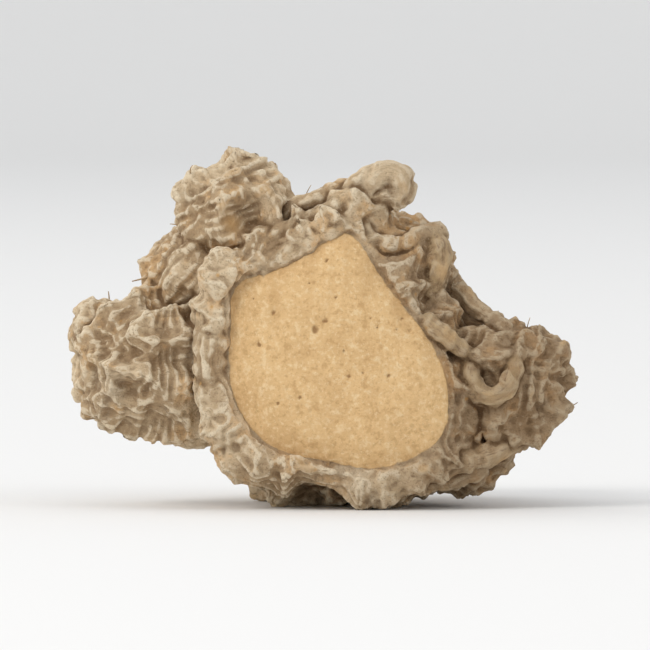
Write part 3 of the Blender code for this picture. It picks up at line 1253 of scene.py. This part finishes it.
@dataclass(frozen=True)
class RootFinish:
    """Dusty grey-brown skin, crests with dust and painted highlight, grooves with dirt and painted shade,
    and starchy flesh where bare.
    """

    name: str = "dried_root"
    # Skin
    blotches: Layers = (
        (Mottle(2.4, 4.0, 0.6), (Wash(Tone.SKIN_PALE, Rise(0.38, 0.64)),)),
        (Mottle(1.3, 3.0, 0.6), (Wash(Tone.SKIN_WARM, Rise(0.5, 0.66, 0.55)),)),
        (Mottle(1.9, 3.0, 0.6), (Wash(Tone.SKIN_GREY, Rise(0.56, 0.72, 0.5)),)),
    )
    grit: Layers = (
        (
            Mottle(0.085, 3.0, 0.75),
            (Wash(Tone.DUST_AND_HIGHLIGHT, Rise(0.58, 0.72, 0.45)), Wash(Tone.SPECK, Rise(0.42, 0.3, 0.55))),
        ),
    )
    streak: Mottle = Mottle(0.14, 4.0, 0.65)
    seam_mottle: Mottle = Mottle(0.2, 4.0, 0.65)
    streak_dirt: Wash = Wash(Tone.DIRT_AND_SHADE, Rise(0.48, 0.32, 0.45))
    # Dirt and painted shade in the grooves and fold hollows, and painted shade along the seams
    groove_dirt_and_shade: Rise = Rise(-0.1, -0.95, 0.45)
    fold_shade: Rise = Rise(0.0, -0.9, 0.15)
    seam_shade: Rise = Rise(0.3, -0.6, 0.5)
    # Dust and painted highlight: lighter on the crests and fold tops
    crest_dust_and_highlight: Rise = Rise(0.2, 0.9, 0.75)
    fold_dust_and_highlight: Rise = Rise(0.2, 1.0, 0.15)
    dust_and_highlight_streaks: Rise = Rise(0.25, 0.55)
    flecks: Specks = Specks(0.8, 0.03, 0.09)
    fleck_mottle: Mottle = Mottle(1.7)
    fleck_patches: Rise = Rise(0.48, 0.6, 0.7)
    pale_streaks: Rise = Rise(0.34, 0.64)
    skin_roughness: float = 0.94
    streak_height: float = 0.11
    pebbles: Mottle = Mottle(0.1, 3.0, 0.7)
    pebble_height: float = 0.09
    # Flesh
    bare: Rise = Rise(0.35, 0.75)
    flesh_grain: Layers = (
        (Mottle(1.1, 3.0, 0.6), (Wash(Tone.FLESH_SHADE, Rise(0.38, 0.66, 0.3)),)),
        (
            Mottle(0.3, 3.0, 0.65),
            (Wash(Tone.FLESH_LIGHT, Rise(0.52, 0.68, 0.6)), Wash(Tone.FLESH_SHADE, Rise(0.47, 0.32, 0.7))),
        ),
        (
            Mottle(0.12, 2.0, 0.7),
            (Wash(Tone.FLESH_LIGHT, Rise(0.56, 0.7, 0.55)), Wash(Tone.FLESH_SHADE, Rise(0.44, 0.3, 0.55))),
        ),
    )
    bundles: Specks = Specks(0.8, 0.05, 0.09)  # ends of the fibres that run back into the root
    bundle_share: float = 0.6
    band_share: float = 0.5
    flesh_edge: Wash = Wash(Tone.FLESH_EDGE, Rise(0.98, 0.4, 0.7))
    pits: Wash = Wash(Tone.PIT, Rise(0.2, 0.8, 0.8))
    flesh_roughness: float = 0.82
    starch: Mottle = Mottle(0.14, 4.0, 0.75)
    starch_height: float = 0.07
    # Both
    specular: float = 0.2
    bump: float = 1.0

    def streaks(self, bench: MaterialBench) -> Socket:
        """Draw fine streaks along each growth, and plain mottling beside the seams between them.

        Args:
            bench: the material in the making.

        Returns:
            The streaks, from 0 to 1.
        """
        seam = bench.attribute("seam")
        along = bench.mottle(self.streak, bench.attribute("grain", "Vector"))
        return along * (1 - seam) + bench.mottle(self.seam_mottle) * seam

    def skin_colour(self, bench: MaterialBench, streaks: Socket) -> Socket:
        """Paint the skin.

        Args:
            bench: the material in the making.
            streaks: the streaks along each growth.

        Returns:
            The skin's colour.
        """
        crest = bench.attribute("crest")
        fold = bench.attribute("fold")
        colour = bench.layered(Tone.SKIN_DARK.linear, self.blotches)
        colour = self.streak_dirt.over(colour, streaks)
        # Dirt and painted shade: darker in the grooves, in the fold hollows and along the seams between
        # growths, but not beside the flesh
        dirt_and_shade = self.groove_dirt_and_shade.of(crest) + self.fold_shade.of(fold)
        dirt_and_shade = dirt_and_shade + bench.attribute("seam") * self.seam_shade.of(crest)
        dirt_and_shade = dirt_and_shade * (1 - bench.attribute("rim"))
        colour = bench.mix(colour, Tone.DIRT_AND_SHADE.linear, dirt_and_shade.clipped())
        # Dust and painted highlight: lighter on the crests and fold tops, along the streaks
        dust_and_highlight = (self.crest_dust_and_highlight.of(crest) + self.fold_dust_and_highlight.of(fold)) * self.dust_and_highlight_streaks.of(streaks)
        colour = bench.mix(colour, Tone.DUST_AND_HIGHLIGHT.linear, dust_and_highlight.clipped())
        colour = bench.layered(colour, self.grit)
        flecked = bench.specks(self.flecks) * self.fleck_patches.of(bench.mottle(self.fleck_mottle))
        colour = bench.mix(colour, Tone.FLECK.linear, flecked)
        # Paler at broken ends, and on raised curls from dust and a painted highlight
        pale_wear_and_highlight = bench.attribute("wear_and_highlight") * self.pale_streaks.of(streaks)
        colour = bench.mix(colour, Tone.PALE_END_AND_HIGHLIGHT.linear, pale_wear_and_highlight)
        # Painted shade: the right side is tinted darker and greyer
        return bench.mix(colour, Tone.PAINTED_SIDE_SHADE.linear, bench.attribute("painted_side_shade"), MixMode.TINT)

    def flesh_colour(self, bench: MaterialBench) -> Socket:
        """Paint the starchy flesh of the cut face.

        Args:
            bench: the material in the making.

        Returns:
            The flesh's colour.
        """
        colour = bench.layered(Tone.FLESH.linear, self.flesh_grain)
        colour = bench.mix(colour, Tone.FLESH_EDGE.linear, bench.specks(self.bundles) * self.bundle_share)
        colour = bench.mix(colour, Tone.FLESH_SHADE.linear, bench.attribute("banded") * self.band_share)
        colour = self.flesh_edge.over(colour, bench.attribute("flesh"))
        return self.pits.over(colour, bench.attribute("pit"))

    def build(self) -> bpy.types.Material:
        """Make the material.

        Returns:
            Skin, and flesh where the mesh says that it is bare.
        """
        bench = MaterialBench(self.name)
        streaks = self.streaks(bench)
        bare = self.bare.of(bench.attribute("flesh"))
        showing = (bare + bench.attribute("rubbed")).clipped()
        raised = streaks * self.streak_height + bench.mottle(self.pebbles) * self.pebble_height
        height = raised * (1 - bare) + bench.mottle(self.starch) * self.starch_height * bare
        sockets = {
            "Base Color": bench.mix(self.skin_colour(bench, streaks), self.flesh_colour(bench), showing),
            "Roughness": self.skin_roughness + bare * (self.flesh_roughness - self.skin_roughness),
            "Specular IOR Level": self.specular,
            "Normal": bench.bump(height, self.bump),
        }
        return bench.dressed(sockets)


@dataclass(frozen=True)
class RootletFinish:
    """Wiry brown of a dried rootlet."""

    name: str = "dried_rootlet"
    blotches: Layers = ((Mottle(0.5, 3.0), (Wash(Tone.ROOTLET_PALE, Rise(0.3, 0.7)),)),)
    roughness: float = 0.85
    rings: Mottle = Mottle(0.08)
    ring_height: float = 0.02
    bump: float = 0.6

    def build(self) -> bpy.types.Material:
        """Make the material.

        Returns:
            A streaky brown.
        """
        bench = MaterialBench(self.name)
        sockets = {
            "Base Color": bench.layered(Tone.ROOTLET_DARK.linear, self.blotches),
            "Roughness": self.roughness,
            "Normal": bench.bump(bench.mottle(self.rings) * self.ring_height, self.bump),
        }
        return bench.dressed(sockets)


@dataclass
class JoinedSkin:
    """The joined root's skin while it is wrinkled and marked, in millimetres."""

    mesh: bpy.types.Mesh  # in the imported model's frame
    surfaces: Sequence[Surface]  # the growths that it was joined from, the chunk first
    resting: Matrix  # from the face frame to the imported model's
    edge: float  # the usual length of its edges
    flesh_fade: int = 3  # passes that soften the flesh's edge
    crisp_reach: float = 0.16  # forms about this wide are made crisper
    crisp_gain: float = 0.15
    tip_reach: float = 0.35  # a tip that stands out over this distance
    tip_full: float = 0.12  # by more than this
    tip_loss: float = 1.8  # loses this many times the rest
    wrinkle_fade: int = 2  # passes that soften the wrinkles
    crest_reach: float = 0.1
    crest_full: float = 0.025
    fold_reach: float = 0.5
    fold_full: float = 0.22
    rim_reach: float = 0.25  # the skin has neither dirt nor painted shade this near to the flesh
    seam_jump: float = 0.25  # the growths' patterns part where they change by this much over one edge
    seam_calm: float = 0.75  # how much of the wrinkles' height is lost there
    seam_rings: int = 2  # how many vertices they reach to each side
    seam_fade: int = 2
    seam_edge: tuple[float, float] = (0.05, 0.8)
    bud_spot: Point = (-4.3, 5.3, 0.35)  # flesh shows on the bud's front: across, up and its radius
    bud_front: float = -2.5
    rubbed_size: float = 0.9  # of the patches where the highest folds are rubbed down to the flesh
    rubbed_shift: float = 40.0
    rubbed_gain: float = 0.8
    rubbed_edge: tuple[float, float] = (0.95, 1.35)
    rubbed_share: float = 0.6
    painted_side_shade_span: tuple[float, float] = (-0.5, 5.5)  # painted shade: from where to where the right side turns darker and greyer

    def __post_init__(self) -> None:
        """Find which growth each vertex came from."""
        self.around = Neighbours(self.mesh)
        self.back = np.array(self.resting.inverted())
        self.move(self.around.smoothed(vertex_rows(self.mesh), 1))
        grown = np.concatenate([vertex_rows(surface.mesh) for surface in self.surfaces])
        tree = kdtree.KDTree(len(grown))
        for index, place in enumerate(grown.tolist()):
            tree.insert(place, index)
        tree.balance()
        source = np.fromiter((tree.find(place)[1] for place in self.in_face.tolist()), int, len(self.places))
        sizes = [len(surface.flesh) for surface in self.surfaces]
        self.owner = np.repeat(np.arange(len(sizes)), sizes)[source]
        flesh = np.concatenate([surface.flesh for surface in self.surfaces])[source]
        wear_and_highlight = np.concatenate([surface.wear_and_highlight for surface in self.surfaces])[source]
        self.flesh, self.wear_and_highlight = self.around.smoothed(np.column_stack((flesh, wear_and_highlight)), self.flesh_fade).T
        self.local = np.zeros_like(self.places)
        self.grain = np.zeros_like(self.places)
        for mine, growth in self.owned():
            self.local[mine] = growth.own_places(self.in_face[mine])
            self.grain[mine] = growth.skin.grain(self.local[mine], growth.seed)
        self.seam = self.seams()

    @property
    def chunk(self) -> CutChunk:
        """The cut chunk, which is the first of the growths."""
        return self.surfaces[0].growth

    def owned(self) -> Iterator[tuple[np.ndarray, Growth]]:
        """Each growth, with the vertices that came from it."""
        for index, surface in enumerate(self.surfaces):
            yield self.owner == index, surface.growth

    def seams(self) -> np.ndarray:
        """Find the seams where the growths' patterns part.

        Returns:
            1 beside the seams and 0 away from them.
        """
        near = self.around.parted(self.grain, self.seam_jump)
        for _ in range(self.seam_rings):
            near = self.around.widened(near)
        return self.around.smoothed(near, self.seam_fade)

    def close_seams(self, mesh: bpy.types.Mesh) -> None:
        """Mark the seams again on a thinned copy of the skin, whose edges are longer.

        Args:
            mesh: the thinned copy.
        """
        count = len(mesh.vertices)
        grain, seam = np.empty(count * 3, np.float32), np.empty(count, np.float32)
        mesh.attributes["grain"].data.foreach_get("vector", grain)
        mesh.attributes["seam"].data.foreach_get("value", seam)
        parted = Neighbours(mesh).parted(grain.reshape(-1, 3), self.seam_jump)
        mesh.attributes["seam"].data.foreach_set("value", np.maximum(seam, parted).astype(np.float32))

    def move(self, places: np.ndarray) -> None:
        """Move the vertices, but none of them below the floor.

        Args:
            places: where they go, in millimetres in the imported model's frame.
        """
        places[:, 2] = np.maximum(places[:, 2], 0)
        set_places(self.mesh, places)
        self.places = places
        self.normals = vertex_rows(self.mesh, "normal")
        self.in_face = places @ self.back[:3, :3].T + self.back[:3, 3]

    def above(self, reach: float, over: float = 0.0) -> np.ndarray:
        """Read how far the skin stands out.

        Args:
            reach: the distance that the skin is smoothed over, for comparing with it.
            over: the skin is itself smoothed over this distance first.

        Returns:
            Its height over the smoothed skin at each vertex.
        """
        near = self.places
        if over:
            near = self.around.smoothed(near, self.around.passes_for(over, self.edge))
        far = self.around.smoothed(near, self.around.passes_for(reach, self.edge))
        return ((near - far) * self.normals).sum(1)

    def crisp(self) -> None:
        """Raise the crests and deepen the grooves, which the joining has rounded off."""
        gain = self.crisp_gain * (1 - self.flesh)
        tips = np.maximum(self.above(self.tip_reach) - self.tip_full, 0)
        heights = gain * self.above(self.crisp_reach) - self.tip_loss * tips
        self.move(self.places + self.normals * heights[:, None])

    def wrinkle(self) -> None:
        """Raise the small wrinkles of the skin, and the flesh's own waves and pits."""
        heights = np.zeros(len(self.places))
        for mine, growth in self.owned():
            heights[mine] = growth.skin.wrinkles(self.local[mine], growth.seed, growth.ringed)
        heights = self.around.smoothed(heights * (1 - self.seam_calm * self.seam), self.wrinkle_fade)
        heights = self.flesh * self.chunk.bare_relief(self.in_face) + (1 - self.flesh) * heights
        heights[self.places[:, 2] < self.edge] = 0
        self.move(self.places + self.normals * heights[:, None])

    def rubbed(self, fold: np.ndarray) -> np.ndarray:
        """Find where the skin is rubbed off.

        Args:
            fold: how far each vertex stands out on a fold.

        Returns:
            How much of the flesh shows through, at the spot on the bud and on the highest folds.
        """
        across, up, radius = self.bud_spot
        sideways, height, forwards = self.in_face.T
        away = (sideways - across) ** 2 + (height - up) ** 2
        spot = np.exp(-(away / radius**2)) * (forwards > self.bud_front)
        patchy = self.rubbed_gain * value_noise(self.in_face / self.rubbed_size + self.rubbed_shift)
        return np.maximum(spot, ease(fold + patchy, *self.rubbed_edge) * self.rubbed_share)

    def mark(self) -> None:
        """Write what the finish reads at each vertex."""
        fold = np.clip(self.above(self.fold_reach, self.crest_reach) / self.fold_full, -1, 1)
        marks = {
            "flesh": self.flesh,
            "rim": self.around.smoothed(self.flesh, self.around.passes_for(self.rim_reach, self.edge)),
            "wear_and_highlight": self.wear_and_highlight,
            "crest": np.clip(self.above(self.crest_reach) / self.crest_full, -1, 1),
            "fold": fold,
            "pit": self.chunk.pitted(self.in_face) * self.flesh,
            "banded": self.chunk.banded(self.in_face) * self.flesh,
            "rubbed": self.rubbed(fold) * (1 - self.flesh),
            # painted shade, darker and greyer towards the right side
            "painted_side_shade": ease(self.in_face[:, 0], *self.painted_side_shade_span),
            "seam": ease(self.seam, *self.seam_edge),
        }
        for name, values in marks.items():
            attribute = self.mesh.attributes.new(name, "FLOAT", "POINT")
            attribute.data.foreach_set("value", values.astype(np.float32))
        vectors = self.mesh.attributes.new("grain", "FLOAT_VECTOR", "POINT")
        vectors.data.foreach_set("vector", self.grain.astype(np.float32).ravel())


@dataclass
class KencurRoot:
    """The whole dried piece, grown as one body."""

    quality: Quality
    skin: DriedSkin = DriedSkin()
    finish: RootFinish = RootFinish()
    face_middle: Point = (0.7, -4.6, 5.85)
    face_lean: float = 7.0  # degrees
    first_knob_pattern: int = 2
    first_curl_pattern: int = 30
    most_triangles: int = 196_000
    block: float = 40.0  # side of the block that cuts its resting spot flat

    def knobs(self) -> list[Knob]:
        """List the side knobs, in the order that gives each its own pattern.

        Returns:
            The knobs.
        """
        rows = (
            ("left_shoulder", (-5.4, 3.3, -3.3), (-0.8, 0.6, 0.2), 2.2, 4.6, 0.8, 3),
            ("low_lump", (4.2, -2.8, -3.3), (0.6, -0.5, 0.4), 1.9, 4.4, 0.8, 3),
            ("belly", (-0.5, -2.9, -4.6), (0.0, -1.0, 0.1), 3.0, 5.6, 0.8, 2),
            ("left_knob", (-6.5, 0.1, -3.4), (-1.0, -0.05, 0.25), 2.9, 7.6, 0.75, 5),
            ("left_nub", (-9.2, 1.1, -2.7), (-1.0, 0.3, 0.2), 1.25, 3.2, 0.7, 3),
            ("bud", (-4.0, 5.3, -3.0), (-0.35, 0.85, 0.3), 2.15, 5.2, 0.6, 4),
            ("right_knob", (5.5, -0.8, -2.9), (0.95, -0.08, 0.3), 2.6, 6.4, 0.75, 4),
            ("back_knob", (2.2, 0.3, -9.2), (0.6, 0.0, -0.85), 2.8, 6.8, 0.75, 5),
            ("back_bud", (-2.4, 1.6, -10.2), (-0.5, 0.4, -0.9), 1.6, 4.2, 0.8, 3),
        )
        return [
            Knob(name, pattern, self.skin, *row)
            for pattern, (name, *row) in enumerate(rows, self.first_knob_pattern)
        ]

    def curls(self) -> list[Curl]:
        """List the curled ends of skin, pleats, flap, ridge and ruffles round the cut face.

        Returns:
            The curls.
        """
        rows = (
            ("hook",
             ((-0.3, 5.7, -1.6), (0.6, 6.6, -1.2), (1.4, 7.25, -1.0), (2.2, 7.2, -0.9), (2.3, 6.6, -1.0),
              (1.5, 6.3, -1.2), (0.9, 5.6, -1.5)),
             (0.7, 0.62, 0.55, 0.5, 0.46, 0.46, 0.42)),
            ("left_roll",
             ((-3.6, 4.0, -0.9), (-4.6, 2.75, -0.3), (-5.02, 0.9, -0.05), (-5.02, -1.0, -0.1),
              (-4.6, -2.65, -0.4), (-3.65, -3.8, -0.9)),
             (0.5, 0.6, 0.66, 0.62, 0.55, 0.45)),
            ("pleat_near",
             ((-3.75, 3.3, -0.45), (-2.45, 3.9, -0.1), (-1.1, 4.65, 0.0), (0.2, 5.25, -0.2)),
             (0.36, 0.4, 0.4, 0.36)),
            ("pleat_middle",
             ((-3.6, 4.2, -0.95), (-2.4, 4.85, -0.55), (-1.1, 5.5, -0.45), (0.2, 6.1, -0.75)),
             (0.38, 0.42, 0.42, 0.38)),
            ("pleat_far",
             ((-3.1, 5.1, -1.8), (-1.9, 5.9, -1.4), (-0.7, 6.5, -1.3), (0.3, 6.8, -1.5)),
             (0.4, 0.45, 0.42, 0.4)),
            ("sagging_rim",
             ((0.5, 5.4, -0.8), (1.4, 4.6, -0.6), (2.4, 4.6, -0.9), (3.2, 5.0, -1.5), (3.8, 5.0, -2.1)),
             (0.36, 0.34, 0.36, 0.4, 0.45)),
            # From here a sixth number says how pale a curl is, from dust and a painted highlight
            ("flap",
             ((3.3, 5.0, -1.9), (3.7, 4.3, -1.3), (3.65, 3.5, -1.0), (3.3, 2.6, -1.1)),
             (0.5, 0.48, 0.42, 0.34), 0.8),
            ("right_ridge",
             ((3.2, 1.6, -0.4), (3.8, 1.1, -0.05), (4.5, 0.55, -0.2), (5.0, 0.2, -0.7)),
             (0.32, 0.36, 0.34, 0.32), 0.7),
            ("right_rootlet",
             ((4.3, 2.9, -2.3), (5.0, 2.3, -1.9), (5.8, 1.7, -1.6), (6.5, 0.9, -1.0)),
             (0.42, 0.4, 0.38, 0.36)),
            ("right_curl",
             ((5.1, 0.1, -0.9), (5.1, -0.7, -0.35), (5.6, -1.4, -0.2), (6.3, -1.2, -0.25),
              (6.7, -0.4, -0.5), (6.6, 0.4, -0.9)),
             (0.36, 0.38, 0.4, 0.4, 0.38, 0.36), 0.6),
            ("low_ruffle",
             ((2.6, -4.4, -1.0), (3.8, -4.1, -0.9), (5.0, -3.8, -1.1), (6.2, -3.4, -1.5), (7.0, -2.7, -2.1)),
             (0.42, 0.46, 0.45, 0.42, 0.38), 0.35),
            ("low_ruffle_under",
             ((1.4, -4.7, -1.5), (2.8, -4.7, -1.5), (4.2, -4.5, -1.7), (5.6, -4.0, -2.2)),
             (0.4, 0.44, 0.44, 0.4)),
        )
        return [
            Curl(name, pattern, self.skin, *row)
            for pattern, (name, *row) in enumerate(rows, self.first_curl_pattern)
        ]

    @property
    def resting(self) -> Matrix:
        """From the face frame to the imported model's frame, still in millimetres."""
        tilt = Matrix.Rotation(math.radians(90 - self.face_lean), 4, "X")
        return Matrix.Translation(self.face_middle) @ tilt

    def fuse(self, surfaces: Sequence[Surface], group: bpy.types.Collection) -> bpy.types.Object:
        """Join the growths in one skin that rests on its flat spot.

        Args:
            surfaces: the chunk first, then what grows from it.
            group: where the scratch objects go.

        Returns:
            The joined root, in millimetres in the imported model's frame.
        """
        body = as_object(surfaces[0].mesh, "joined_root", group)
        with workbench("growths") as growths:
            for surface in surfaces[1:]:
                as_object(surface.mesh, surface.growth.name, growths)
            union = {"operation": "UNION", "operand_type": "COLLECTION", "collection": growths}
            apply_modifier(body, "BOOLEAN", solver="MANIFOLD", **union)
        body.data.materials.clear()
        body.data.transform(self.resting)
        cube = bmesh.new()
        bmesh.ops.create_cube(cube, size=self.block, matrix=Matrix.Translation((0, 0, -self.block / 2)))
        cutter = as_object(kept_mesh(cube, "surface_below"), "surface_below", group)
        apply_modifier(body, "BOOLEAN", operation="DIFFERENCE", object=cutter, solver="MANIFOLD")
        apply_modifier(body, "REMESH", mode="VOXEL", voxel_size=self.quality.voxel)
        return body

    def build(self) -> bpy.types.Object:
        """Grow, join, wrinkle, mark and dress the root.

        Returns:
            The finished piece, in metres.
        """
        noise.seed_set(self.skin.pattern_seed)
        chunk = CutChunk(self.skin)
        lumps = [chunk, *self.knobs()]
        tubes = [*self.curls(), *StubRule().stubs(lumps, self.skin)]
        surfaces = [lump.grow_finer(self.quality.detail) for lump in lumps] + [tube.grow() for tube in tubes]
        with workbench("fusing") as group:
            root = self.fuse(surfaces, group)
            group.objects.unlink(root)
        bpy.context.scene.collection.objects.link(root)
        joined = JoinedSkin(root.data, surfaces, self.resting, self.quality.voxel)
        joined.crisp()
        joined.wrinkle()
        joined.mark()
        root.data.calc_loop_triangles()
        count = len(root.data.loop_triangles)
        if count > self.most_triangles:
            apply_modifier(root, "DECIMATE", ratio=self.most_triangles / count)
            joined.close_seams(root.data)
        root.data.transform(Matrix.Scale(MM, 4))
        root.data.materials.clear()
        root.data.materials.append(self.finish.build())
        root.data.shade_smooth()
        root.name = "dried_kencur_root"
        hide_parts(CAD_NODE)
        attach(root, BODY)
        return root


@dataclass
class FineRootlets:
    """Hair-thin rootlets that still stand on the skin, away from the cut face."""

    finish: RootletFinish = RootletFinish()
    count: int = 30
    radius: tuple[float, float] = (0.03, 0.055)
    length: tuple[float, float] = (0.25, 0.9)
    steps: int = 9
    sides: int = 6
    taper: float = 0.6  # how much thinner its end is than its foot
    sunk: float = 0.25
    lean: float = 0.6
    sag: float = 0.5
    curl: float = 0.55
    lowest: float = 0.6  # feet stand at least this far above the floor
    face_front: float = -2.6  # and behind this plane
    clear: float = 0.1  # of the floor, for every point
    seed: int = 21

    def thread(self, foot: Vector, out: Vector, rule: random.Random) -> tuple[np.ndarray, list[list[int]]]:
        """Draw one rootlet.

        Args:
            foot: where it stands, in millimetres.
            out: the skin's normal there.
            rule: the seeded draws.

        Returns:
            Its points, and its faces as indices of them.
        """
        long, thick = rule.uniform(*self.length), rule.uniform(*self.radius)
        aside = Vector([rule.uniform(-1, 1) for _ in range(3)])
        heading = (out + self.lean * aside).normalized()
        bend = Vector([rule.uniform(-1, 1) for _ in range(3)]) * self.curl
        place = foot - out * self.sunk
        step = (long + self.sunk) / self.steps
        turns = [math.tau * side / self.sides for side in range(self.sides)]
        points = []
        for index in range(self.steps + 1):
            share = index / self.steps
            across = heading.orthogonal().normalized() * thick * (1 - self.taper * share)
            up = heading.cross(across)
            points += [tuple(place + math.cos(turn) * across + math.sin(turn) * up) for turn in turns]
            place = place + heading * step
            heading = (heading + bend * step - Vector((0, 0, self.sag * step * share))).normalized()
        foot_cap = list(range(self.sides))[::-1]
        end_cap = [self.steps * self.sides + side for side in range(self.sides)]
        # The rings run the other way round here, so their faces are turned over
        quads = ring_faces(0, self.steps + 1, self.sides)
        tube = [[one, four, three, two] for one, two, three, four in quads]
        return np.array(points), [foot_cap, *tube, end_cap]

    def build(self, root: bpy.types.Object) -> bpy.types.Object:
        """Stand the rootlets on the root.

        Args:
            root: the finished root, in metres.

        Returns:
            All the rootlets as one piece.
        """
        rule = random.Random(self.seed)
        feet, outs = vertex_rows(root.data) / MM, vertex_rows(root.data, "normal")
        order = list(range(len(feet)))
        rule.shuffle(order)
        points, faces, done = [], [], 0
        for index in order:
            foot, out = Vector(feet[index]), Vector(outs[index])
            if foot.z < self.lowest or foot.y < self.face_front:
                continue
            thread, sides = self.thread(foot, out, rule)
            if thread[:, 2].min() < self.clear:
                continue
            start = sum(len(rows) for rows in points)
            points.append(thread)
            faces += [[start + corner for corner in side] for side in sides]
            done += 1
            if done == self.count:
                break
        mesh = bpy.data.meshes.new("fine_rootlets")
        mesh.from_pydata((np.concatenate(points) * MM).tolist(), [], faces)
        mesh.materials.append(self.finish.build())
        mesh.shade_smooth()
        piece = as_object(mesh, "fine_rootlets", bpy.context.scene.collection)
        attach(piece, BODY)
        return piece


@dataclass
class Backdrop:
    """A pale floor that curves up into a wall all round, so that every side sees it."""

    flat: float = 0.64
    bend: float = 0.15
    wall: float = 0.03
    sides: int = 96
    bend_steps: int = 16
    roughness: float = 0.95

    def build(self) -> bpy.types.Object:
        """Make the backdrop.

        Returns:
            The floor and its wall as one object.
        """
        bends = [math.pi / 2 * step / self.bend_steps for step in range(self.bend_steps + 1)]
        curve = [(self.flat + self.bend * math.sin(t), self.bend * (1 - math.cos(t))) for t in bends]
        rings = [(self.flat / 2, 0.0), *curve, (self.flat + self.bend, self.bend + self.wall)]
        turns = [math.tau * side / self.sides for side in range(self.sides)]
        points = [(0.0, 0.0, 0.0)]
        for far, high in rings:
            points += [(far * math.cos(turn), far * math.sin(turn), high) for turn in turns]
        faces = [[0, 1 + side, 1 + (side + 1) % self.sides] for side in range(self.sides)]
        faces += ring_faces(1, len(rings), self.sides)
        mesh = bpy.data.meshes.new("backdrop")
        mesh.from_pydata(points, [], faces)
        sockets = {"Base Color": Tone.FLOOR.linear, "Roughness": self.roughness}
        mesh.materials.append(MaterialBench("pale_floor").dressed(sockets))
        mesh.shade_smooth()
        floor = as_object(mesh, "backdrop", bpy.context.scene.collection)
        return floor


@dataclass(frozen=True)
class Stand:
    """A stand that turns what it holds towards the root. Lengths are in metres."""

    azimuth: float  # degrees: 0 in front of the cut face, 90 to its right
    elevation: float
    away: float

    def hold(self, data: bpy.types.ID, middle: Vector) -> bpy.types.Object:
        """Put a light or a camera on the stand.

        Args:
            data: the light or the camera.
            middle: the point that it faces.

        Returns:
            Its object.
        """
        turn, lift = math.radians(self.azimuth), math.radians(self.elevation)
        level = math.cos(lift)
        towards = Vector((math.sin(turn) * level, -math.cos(turn) * level, math.sin(lift)))
        held = as_object(data, data.name, bpy.context.scene.collection)
        held.location = middle + towards * self.away
        held.rotation_euler = towards.to_track_quat("Z", "Y").to_euler()
        return held


class LightRole(Enum):
    """What a soft light is there for."""

    KEY = "key"
    FILL = "fill"
    RIM = "rim"


@dataclass(frozen=True)
class SoftLight:
    """A square soft box that faces the root."""

    role: LightRole
    stand: Stand
    size: float
    watts: float
    colour: tuple[float, float, float]

    def build(self, middle: Vector) -> bpy.types.Object:
        """Hang the light.

        Args:
            middle: the point that it faces.

        Returns:
            The light's object.
        """
        data = bpy.data.lights.new(f"{self.role.value}_light", "AREA")
        data.shape = "SQUARE"
        data.size = self.size
        data.energy = self.watts
        data.color = self.colour
        return self.stand.hold(data, middle)


@dataclass
class Studio:
    """Plain soft light, the backdrop and the camera at the photograph's viewing angle."""

    lights: tuple[SoftLight, ...] = (
        SoftLight(LightRole.KEY, Stand(-50.0, 38.0, 0.5), 0.2, 0.82, (1.0, 0.97, 0.93)),
        SoftLight(LightRole.FILL, Stand(62.0, 30.0, 0.5), 0.2, 0.22, (1.0, 0.98, 0.96)),
        SoftLight(LightRole.RIM, Stand(-128.0, 36.0, 0.5), 0.3, 0.4, (1.0, 0.99, 0.97)),
    )
    sky: tuple[float, float, float] = (0.95, 0.97, 1.0)
    sky_strength: float = 0.84
    camera_stand: Stand = Stand(2.8, 2.0, 0.48)
    view_width: float = 0.0255
    sensor: float = 36.0  # millimetres
    seen_from: float = 0.01
    seen_to: float = 3.0

    def build(self) -> None:
        """Set up the studio round the root."""
        low, high = CAD_BOX
        middle = (Vector(low) + Vector(high)) / 2
        Backdrop().build()
        for light in self.lights:
            light.build(middle)
        world = bpy.data.worlds.new("studio_air")
        world.use_nodes = True
        air = world.node_tree.nodes["Background"]
        air.inputs["Color"].default_value = (*self.sky, 1.0)
        air.inputs["Strength"].default_value = self.sky_strength
        bpy.context.scene.world = world
        bpy.context.scene.view_settings.view_transform = "Standard"
        self.camera(middle)

    def camera(self, middle: Vector) -> None:
        """Place the long lens that sees the root nearly level, as the photograph does.

        Args:
            middle: the point that it faces.
        """
        data = bpy.data.cameras.new("photo_camera")
        data.sensor_width = self.sensor
        data.lens = self.sensor * self.camera_stand.away / self.view_width
        data.clip_start = self.seen_from
        data.clip_end = self.seen_to
        bpy.context.scene.camera = self.camera_stand.hold(data, middle)


def main() -> None:
    """Build the root, its rootlets and the studio, and report each."""
    logging.basicConfig(level=logging.INFO, format="%(name)s: %(message)s")
    quality = Quality.FINISHED
    root = KencurRoot(quality).build()
    log.info("%s: %d faces", root.name, len(root.data.polygons))
    rootlets = FineRootlets().build(root)
    log.info("%s: %d faces", rootlets.name, len(rootlets.data.polygons))
    Studio().build()
    log.info("studio: floor, lights and camera are in place")


if __name__ == "__main__":
    main()
